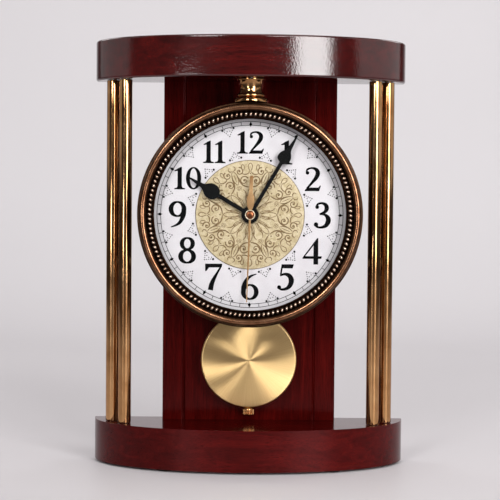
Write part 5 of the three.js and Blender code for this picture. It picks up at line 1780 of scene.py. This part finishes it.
    def hub(self) -> None:
        """Builds the threaded bush and the six-sided nut on it."""
        low, high, middle = span_of("centre_bush")
        profile = sleeve(self.bush_bore, high.x - middle.x, low.y, high.y)
        bush = turned("centre_bush_brass", THREAD_BRASS, Axis.Y, self.centre, profile, self.hub_segments,
                      self.hub_edge)
        install(bush, THREAD_BRASS, "centre_bush")
        softened_copy("dial_nut", "dial_nut_brass", THREAD_BRASS, self.hub_edge)

    def build(self) -> None:
        """Builds the sheets, the prints and the nut."""
        gold = PrintedGold("pale_gold_print", "dial_gold", centre=tuple(v * MM for v in self.centre))
        self.sheet("dial", "dial_enamel", ENAMEL, self.sheet_edge)
        self.sheet("dial_centre_disc", "centre_disc_gold", gold, self.disc_edge)
        self.track()
        self.numerals()
        self.dotted("outer_ornaments", self.outer_ornament, self.outer_rise)
        self.dotted("inner_ornaments", self.inner_ornament, self.inner_rise)
        self.scrollwork()
        self.hub()


@dataclass(frozen=True)
class SpadeSizes:
    """Sizes of a spade hand, along it from the hub."""

    node: str
    body: Body
    angle: float
    hub: float
    bore: float
    stem: float
    start: float
    widest: float
    half_width: float
    waist: float
    waist_half: float
    tip: float


@dataclass
class Hands:
    """The black hour and minute hands and the copper second hand."""

    SPADES: ClassVar[tuple[SpadeSizes, ...]] = (
        SpadeSizes("hour_hand", Body.HOUR, angle=301.0, hub=6.5, bore=2.75, stem=1.5, start=28.2,
                   widest=33.9, half_width=5.8, waist=43.7, waist_half=1.6, tip=54.9),
        SpadeSizes("minute_hand", Body.MINUTE, angle=30.5, hub=5.4, bore=1.75, stem=1.4, start=45.9,
                   widest=49.2, half_width=5.0, waist=59.0, waist_half=1.5, tip=69.2),
    )
    thickness: float = 0.6
    edge: float = 0.16
    point: float = 0.4
    shoulder: float = 0.8
    flare: float = 0.4
    flat: float = 0.5
    bore_segments: int = 32
    hub_segments: int = 48
    cap: float = 3.05
    cap_ring: float = 3.8
    cap_gap: float = 0.02
    rim_front: float = 0.55
    rim_edge: float = 0.25
    second_angle: float = 181.8
    needle: float = 0.4
    neck: float = 0.8
    bulge: float = 11.1
    bulge_half: float = 2.9
    tail_waist: float = 18.0
    tail_half: float = 1.3
    tail: float = 29.2
    second_tip: float = 65.5

    def __post_init__(self) -> None:
        """Reads the dial's middle from the frame."""
        self.middle = span_of("dial")[2]

    def turn(self, outline: Outline, angle: float) -> Outline:
        """Turns an outline clockwise by degrees."""
        c, s = cos(radians(angle)), sin(radians(angle))
        return [(x * c + z * s, z * c - x * s) for x, z in outline]

    def curve(self, a: Point, b: Point, c: Point, d: Point, steps: int = 14) -> Outline:
        """Gives points along a curve from a to d that leaves towards b and arrives from c."""
        rows = [((1 - t) ** 3, 3 * t * (1 - t) ** 2, 3 * t * t * (1 - t), t ** 3)
                for t in (i / steps for i in range(steps + 1))]
        return [tuple(sum(w * p[k] for w, p in zip(row, (a, b, c, d))) for k in (0, 1)) for row in rows]

    def mirrored(self, right: Outline) -> Outline:
        """Closes a right-hand outline with its mirror image."""
        return right + [(-x, z) for x, z in reversed(right)]

    def spade_outline(self, s: SpadeSizes) -> Outline:
        """Gives a spade blade that points up.

        Args:
            s: The hand's sizes.

        Returns:
            Its outline.
        """
        bend = (s.widest + s.waist) / 2
        foot = (s.stem, s.start - self.shoulder)
        right = [(s.stem, 0), foot]
        right += self.curve(foot, (s.stem + self.flare, s.start), (s.half_width, s.start),
                            (s.half_width, s.widest))[1:]
        right += self.curve((s.half_width, s.widest), (s.half_width, bend), (s.waist_half, bend),
                            (s.waist_half, s.waist))[1:]
        right.append((self.point, s.tip))
        return self.mirrored(right)

    def second_outline(self) -> Outline:
        """Gives the second hand, needle up and tail down.

        Returns:
            Its outline.
        """
        bend = (self.bulge + self.tail_waist) / 2
        right = [(self.tail_half, -self.tail)]
        right += self.curve((self.tail_half, -self.tail_waist), (self.tail_half, -bend),
                            (self.bulge_half, -bend), (self.bulge_half, -self.bulge))
        right += self.curve((self.bulge_half, -self.bulge), (self.bulge_half, -self.cap_ring - 1),
                            (self.neck, -self.cap_ring), (self.neck, -self.cap_ring + 1))[1:]
        right += [(self.neck, 0), (self.needle, self.second_tip)]
        return self.mirrored(right)

    def blade(self, node: str, outlines: list[Outline], angle: float, body: Body, finish: Finish,
              bore: float = 0.0) -> None:
        """Builds a flat hand with softened edges.

        Args:
            node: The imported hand.
            outlines: Its overlapping outlines.
            angle: Where it points.
            body: The body that it moves with.
            finish: Its finish.
            bore: Radius of its hole, or nought.
        """
        back = span_of(node)[1].y
        front = back - self.thickness
        mesh = Mesh()
        mesh.printed([self.turn(outline, angle) for outline in outlines], front, back,
                     (self.middle.x, self.middle.z))
        mesh.flatten(self.flat)
        piece = mesh.object(node + "_blade", finish, CRISP)
        if bore:
            carve(piece, [drill(finish, Axis.Y, self.middle, bore, front - SPARE, back + SPARE,
                                self.bore_segments)])
        soften(piece, self.edge)
        install(piece, finish, node, body=body)

    def crown(self) -> None:
        """Builds the second hand's domed cap and the pale ring round it."""
        low, high, _ = span_of("second_hand")
        # Radius and depth from the dome's tip to its rim
        dome = [(0, low.y), (self.cap * 0.5, low.y + 0.12), (self.cap * 0.85, low.y + 0.4),
                (self.cap, low.y + 0.7), (self.cap, high.y), (0, high.y)]
        cap = turned("second_hand_cap", CAP_COPPER, Axis.Y, self.middle, dome, self.hub_segments)
        install(cap, CAP_COPPER, body=Body.SECONDS)
        inner, outer = self.cap + self.cap_gap, self.cap_ring
        front = low.y + self.rim_front
        section = [(inner, high.y), (inner, front), (outer, front), (outer, high.y), (inner, high.y)]
        rim = turned("second_hand_rim", RIM_WHITE, Axis.Y, self.middle, section, self.hub_segments,
                     self.rim_edge)
        install(rim, RIM_WHITE, body=Body.SECONDS)

    def build(self) -> None:
        """Builds the three hands."""
        for sizes in self.SPADES:
            outlines = [self.spade_outline(sizes), disc(0, 0, sizes.hub, self.hub_segments)]
            self.blade(sizes.node, outlines, sizes.angle, sizes.body, LACQUER, sizes.bore)
        self.blade("second_hand", [self.second_outline()], self.second_angle, Body.SECONDS, HAND_COPPER)
        self.crown()


@dataclass
class Movement:
    """The quartz movement behind the dial, with its setting knob and cell."""

    KEPT: ClassVar[dict[Finish, tuple[str, ...]]] = {
        WHITE_PLASTIC: ("hour_wheel", "centre_wheel", "seconds_wheel", "third_wheel", "intermediate_wheel",
                        "rotor", "motion_wheel"),
        STEEL: ("stator", "contact_negative", "contact_positive", "spool_stud", "pendulum_magnet"),
        COIL: ("motor_coil", "pendulum_coil"),
        CIRCUIT: ("circuit_board",),
        BLACK_PLASTIC: ("setting_knob",),
        BEECH: ("board_dowel_left", "board_dowel_right"),
    }
    CELL_BANDS: ClassVar[tuple[tuple[float, str], ...]] = (
        (0.0, "#9aa0a5"), (0.018, "#26303b"), (0.70, "#b98d4e"), (0.965, "#a5a9ad"))
    ring: RingTree
    edge: float = 0.25
    knob_height: float = 4.0
    knob_gap: float = 0.1
    knob_dish: float = 0.12
    rim_inset: float = 1.7
    dish_inset: float = 2.1
    knob_segments: int = 60
    knob_ribs: int = 30
    grip_wall: float = 0.15
    grip_chamfer: float = 0.6
    rib: float = 0.3
    rib_root: float = 0.2
    rib_half: float = 0.3
    rib_tip: float = 0.15
    rib_front: float = 0.3
    rib_back: float = 0.7
    cell_cap: float = 1.4
    cell_segments: int = 64

    def knob(self) -> None:
        """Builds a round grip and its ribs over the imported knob, which keeps its shaft and pinion."""
        _, high, middle = span_of("setting_knob")
        grip = high.x - middle.x + self.grip_wall
        front = high.y - self.knob_height + self.knob_gap
        back = high.y + self.grip_wall
        slant = self.grip_chamfer
        floor = back - self.knob_dish
        profile = [(0, front), (grip, front), (grip, back - slant), (grip - slant, back),
                   (grip - self.rim_inset, back), (grip - self.dish_inset, floor), (0, floor)]
        cap = turned("setting_knob_grip", BLACK_PLASTIC, Axis.Y, middle, profile, self.knob_segments,
                     self.edge)
        install(cap, BLACK_PLASTIC, body=Body.SETTING)
        root = middle.z + grip - self.rib_root
        top = middle.z + grip + self.rib
        outline = [(middle.x - self.rib_half, root), (middle.x + self.rib_half, root),
                   (middle.x + self.rib_tip, top), (middle.x - self.rib_tip, top)]
        ribs = sawn("setting_knob_ribs", BLACK_PLASTIC, Axis.Y, outline, front + self.rib_front,
                    back - self.rib_back, CRISP)
        self.ring.repeat(ribs, self.knob_ribs, Axis.Y, (middle.x, 0, middle.z), BLACK_PLASTIC,
                         body=Body.SETTING)

    def cell(self) -> None:
        """Builds the cell with its sleeve, crimped ends and raised end."""
        low, high, middle = span_of("battery")
        radius = high.z - middle.z
        crimp = high.x - self.cell_cap
        # Radius and place along the cell of its flat end, its sleeve and its raised end
        profile = [(0, low.x + 0.2), (radius - 2.2, low.x + 0.2), (radius - 1.8, low.x),
                   (radius - 0.5, low.x), (radius, low.x + 0.6), (radius, crimp - 0.6),
                   (radius - 0.6, crimp), (radius - 1.6, crimp), (radius - 2.0, crimp - 0.3),
                   (2.8, crimp - 0.3), (2.6, high.x - 0.3), (2.3, high.x), (0, high.x)]
        wrap = Banded("cell_wrap", "cell_sleeve", axis=Axis.X, centre=tuple(middle * MM),
                      length=(high.x - low.x) * MM, bands=self.CELL_BANDS)
        piece = turned("cell_body", wrap, Axis.X, middle, profile, self.cell_segments, self.edge)
        install(piece, wrap, "battery", body=Body.CELL)

    def dress(self) -> None:
        """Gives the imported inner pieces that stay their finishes."""
        for finish, nodes in self.KEPT.items():
            for node in nodes:
                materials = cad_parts[node].data.materials
                materials.clear()
                materials.append(finish.material())
                LOG.info("%s: kept with %s", node, finish.name)

    def build(self) -> None:
        """Builds shells, knob and cell and dresses what stays."""
        for node in ("movement_case", "movement_cover"):
            softened_copy(node, node + "_moulding", BLACK_PLASTIC, self.edge)
        self.knob()
        self.cell()
        self.dress()


@dataclass
class Pendulum:
    """The hanger, rod, brushed bob and knurled rating nut."""

    ring: RingTree
    hanger_edge: float = 0.3
    rod_play: float = 0.3
    rod_segments: int = 24
    thread_start: float = 0.3
    thread_turns: int = 18
    thread_pitch: float = 0.5
    thread_depth: float = 0.18
    crown: float = 0.8
    tip: float = 0.4
    bevel: float = 0.9
    wall: float = 1.2
    bob_edge: float = 0.35
    bob_segments: int = 192
    sleeve_half: float = 2.3
    sleeve_gap: float = 0.4
    sleeve_front: float = 0.1
    sleeve_back: float = 0.2
    sleeve_edge: float = 0.2
    nut_bore: float = 1.5
    nut_edge: float = 0.3
    nut_chamfer: float = 0.8
    nut_segments: int = 64
    nut_ribs: int = 36
    nut_rib: float = 0.28
    rib_half: float = 0.3
    rib_root: float = 0.2

    def rod(self) -> None:
        """Builds the rod with a thread at its lower end."""
        low, high, middle = span_of("pendulum_rod")
        radius = high.x - middle.x
        pitch = self.thread_pitch
        profile = [(0, low.z), (radius - self.thread_start, low.z)]
        for i in range(self.thread_turns):
            z = low.z + self.thread_start + i * pitch
            profile += [(radius, z), (radius - self.thread_depth, z + pitch / 2)]
        profile += [(radius, low.z + (self.thread_turns + 1) * pitch), (radius, high.z), (0, high.z)]
        piece = turned("pendulum_rod_brass", THREAD_BRASS, Axis.Z, middle, profile, self.rod_segments)
        install(piece, THREAD_BRASS, "pendulum_rod", body=Body.PENDULUM)

    def rod_bore(self) -> Piece:
        """Gives a cutter for the rod's way through the bob."""
        low, high, middle = span_of("pendulum_rod")
        return drill(THREAD_BRASS, Axis.Z, middle, high.x - middle.x + self.rod_play, low.z, high.z,
                     self.rod_segments)

    def bob(self) -> None:
        """Builds the dished bob with its bevelled rim and the sleeve at its back."""
        low, high, middle = span_of("bob")
        radius = high.x - middle.x
        face = low.y + self.crown
        edge = radius - self.bevel
        inside = radius - self.wall
        # Radius and depth from the tip over the front to the rim, then back inside the dish
        profile = [(0, low.y), (self.tip, low.y + self.crown * self.tip / edge), (edge, face),
                   (radius - 0.2, face + 0.5), (radius, face + self.bevel), (radius, high.y),
                   (inside, high.y), (inside, face + self.bevel + 0.6),
                   (edge - self.wall, face + self.wall), (0, low.y + self.wall)]
        satin = SunrayMetal("sunray_brass", "satin_brass", centre=tuple(middle * MM))
        dish = turned("bob_dish", satin, Axis.Y, middle, profile, self.bob_segments, self.bob_edge)
        carve(dish, [self.rod_bore()])
        shade(dish, TURNED)
        install(dish, satin, "bob", body=Body.BOB)
        reach = inside - self.sleeve_gap
        outline = oblong(-self.sleeve_half, self.sleeve_half, low.y + self.wall + self.sleeve_front,
                         high.y - self.sleeve_back)
        piece = sawn("bob_sleeve", THREAD_BRASS, Axis.Z, outline, middle.z - reach, middle.z + reach, CRISP)
        carve(piece, [self.rod_bore()])
        soften(piece, self.sleeve_edge)
        install(piece, THREAD_BRASS, body=Body.BOB)

    def nut(self) -> None:
        """Builds the rating nut and its knurling."""
        low, high, middle = span_of("rating_nut")
        tip = high.x - middle.x
        body = tip - self.nut_rib
        bottom, top = low.z + self.nut_chamfer, high.z - self.nut_chamfer
        slant = body - self.nut_edge
        profile = [(self.nut_bore, middle.z), (self.nut_bore, low.z), (slant, low.z), (body, bottom),
                   (body, top), (slant, high.z), (self.nut_bore, high.z), (self.nut_bore, middle.z)]
        piece = turned("rating_nut_body", BRASS, Axis.Z, middle, profile, self.nut_segments, self.nut_edge)
        install(piece, BRASS, "rating_nut", body=Body.NUT)
        root = middle.y - body + self.rib_root
        outline = [(middle.x - self.rib_half, root), (middle.x, middle.y - tip),
                   (middle.x + self.rib_half, root)]
        ribs = sawn("rating_nut_knurls", BRASS, Axis.Z, outline, bottom, top, CRISP)
        self.ring.repeat(ribs, self.nut_ribs, Axis.Z, (middle.x, middle.y, 0), BRASS, body=Body.NUT)

    def build(self) -> None:
        """Builds hanger, rod, bob and nut."""
        softened_copy("pendulum_hanger", "pendulum_hanger_moulding", BLACK_PLASTIC, self.hanger_edge,
                      Body.PENDULUM)
        self.rod()
        self.bob()
        self.nut()


@dataclass(frozen=True)
class Softbox:
    """A soft lamp that stands round the clock, in metres and watts."""

    name: str
    azimuth: float
    height: float
    distance: float
    width: float
    tall: float
    watts: float
    aim: Place = (0.0, 0.0, 0.17)

    def hang(self) -> None:
        """Places the lamp and turns it to what it lights."""
        lamp = bpy.data.lights.new(self.name, "AREA")
        lamp.shape = "RECTANGLE"
        lamp.size = self.width
        lamp.size_y = self.tall
        lamp.energy = self.watts
        holder = bpy.data.objects.new(self.name, lamp)
        bpy.context.scene.collection.objects.link(holder)
        turn = radians(self.azimuth)
        holder.location = (self.distance * sin(turn), -self.distance * cos(turn), self.height)
        holder.visible_camera = False
        holder.rotation_mode = "QUATERNION"
        holder.rotation_quaternion = (Vector(self.aim) - holder.location).to_track_quat("-Z", "Y")


@dataclass
class Studio:
    """A pale floor and wall, soft lamps and the camera at the photograph's angle."""

    camera_spot: Place = (-0.00448, -1.1137, 0.2062)
    pitch: float = -2.087
    yaw: float = 0.243
    roll: float = 0.464
    lens: float = 105.67
    sensor: float = 36.0
    floor_half: float = 3.0
    wall_y: float = 1.4
    bend: float = 0.5
    bend_steps: int = 16
    wall_height: float = 3.0
    ambient: float = 0.1
    air_tint: str = "#e9e6e8"
    lamps: tuple[Softbox, ...] = (
        Softbox("key_softbox", 30, 0.62, 1.5, 0.5, 1.15, 20.5),
        Softbox("high_left_softbox", -22, 0.9, 1.6, 0.4, 0.4, 11),
        Softbox("low_left_softbox", -30, 0.2, 1.6, 0.3, 0.2, 3),
        Softbox("high_right_softbox", 13, 0.8, 1.6, 0.22, 0.22, 4),
        Softbox("top_softbox", 0, 1.7, 0.35, 1.2, 0.9, 5.5),
        Softbox("left_softbox", -100, 0.95, 1.4, 1.8, 1.4, 3.5),
        Softbox("right_softbox", 90, 0.95, 1.4, 2.1, 1.4, 6.5),
        Softbox("back_left_softbox", -128, 1.05, 1.2, 0.6, 0.6, 3.5),
        Softbox("back_right_softbox", 128, 1.05, 1.2, 0.6, 0.6, 3.5),
        Softbox("wall_softbox", 180, 2.0, 0.6, 1.8, 0.4, 3.5, (0.0, 1.5, 0.7)),
    )

    def ground(self) -> None:
        """Builds the floor that bends up into a wall."""
        paper = StudioPaper("pale_paper", "dial_white")
        hollow = arc((self.wall_y - self.bend, self.bend), self.bend, -90, 0, self.bend_steps)
        section = [(-self.floor_half, 0.0), *hollow, (self.wall_y, self.wall_height)]
        verts = [(side * self.floor_half, y, z) for y, z in section for side in (-1, 1)]
        faces = [(2 * i, 2 * i + 1, 2 * i + 3, 2 * i + 2) for i in range(len(section) - 1)]
        mesh = bpy.data.meshes.new("studio_ground")
        mesh.from_pydata(verts, [], faces)
        mesh.materials.append(paper.material())
        ground = bpy.data.objects.new("studio_ground", mesh)
        bpy.context.scene.collection.objects.link(ground)
        shade(ground, TURNED)

    def air(self) -> None:
        """Sets the even light from all round."""
        world = bpy.data.worlds.new("studio_air")
        bpy.context.scene.world = world
        world.use_nodes = True
        background = world.node_tree.nodes["Background"]
        background.inputs["Color"].default_value = tint(self.air_tint)
        background.inputs["Strength"].default_value = self.ambient

    def camera(self) -> None:
        """Places the camera as in the photograph."""
        p, y, r = (radians(angle) for angle in (self.pitch, self.yaw, self.roll))
        forward = Vector((cos(p) * sin(y), cos(p) * cos(y), sin(p)))
        flat = Vector((cos(y), -sin(y), 0))
        upright = flat.cross(forward)
        right = cos(r) * flat + sin(r) * upright
        up = right.cross(forward)
        data = bpy.data.cameras.new("photo_camera")
        data.lens = self.lens
        data.sensor_width = self.sensor
        holder = bpy.data.objects.new("photo_camera", data)
        bpy.context.scene.collection.objects.link(holder)
        turned_to = Matrix((right, up, -forward)).transposed().to_4x4()
        holder.matrix_world = Matrix.Translation(self.camera_spot) @ turned_to
        bpy.context.scene.camera = holder

    def build(self) -> None:
        """Builds ground, light and camera."""
        self.ground()
        self.air()
        for lamp in self.lamps:
            lamp.hang()
        self.camera()
        bpy.context.scene.view_settings.view_transform = "Standard"


def main() -> None:
    """Builds every sub-assembly in order."""
    logging.basicConfig(level=logging.INFO, format="%(name)s %(message)s")
    ring = RingTree()
    for assembly in (Studio(), Plates(), Columns(), Backboard(), Head(ring), Dial(ring), Hands(),
                     Movement(ring), Pendulum(ring)):
        assembly.build()


if __name__ == "__main__":
    main()
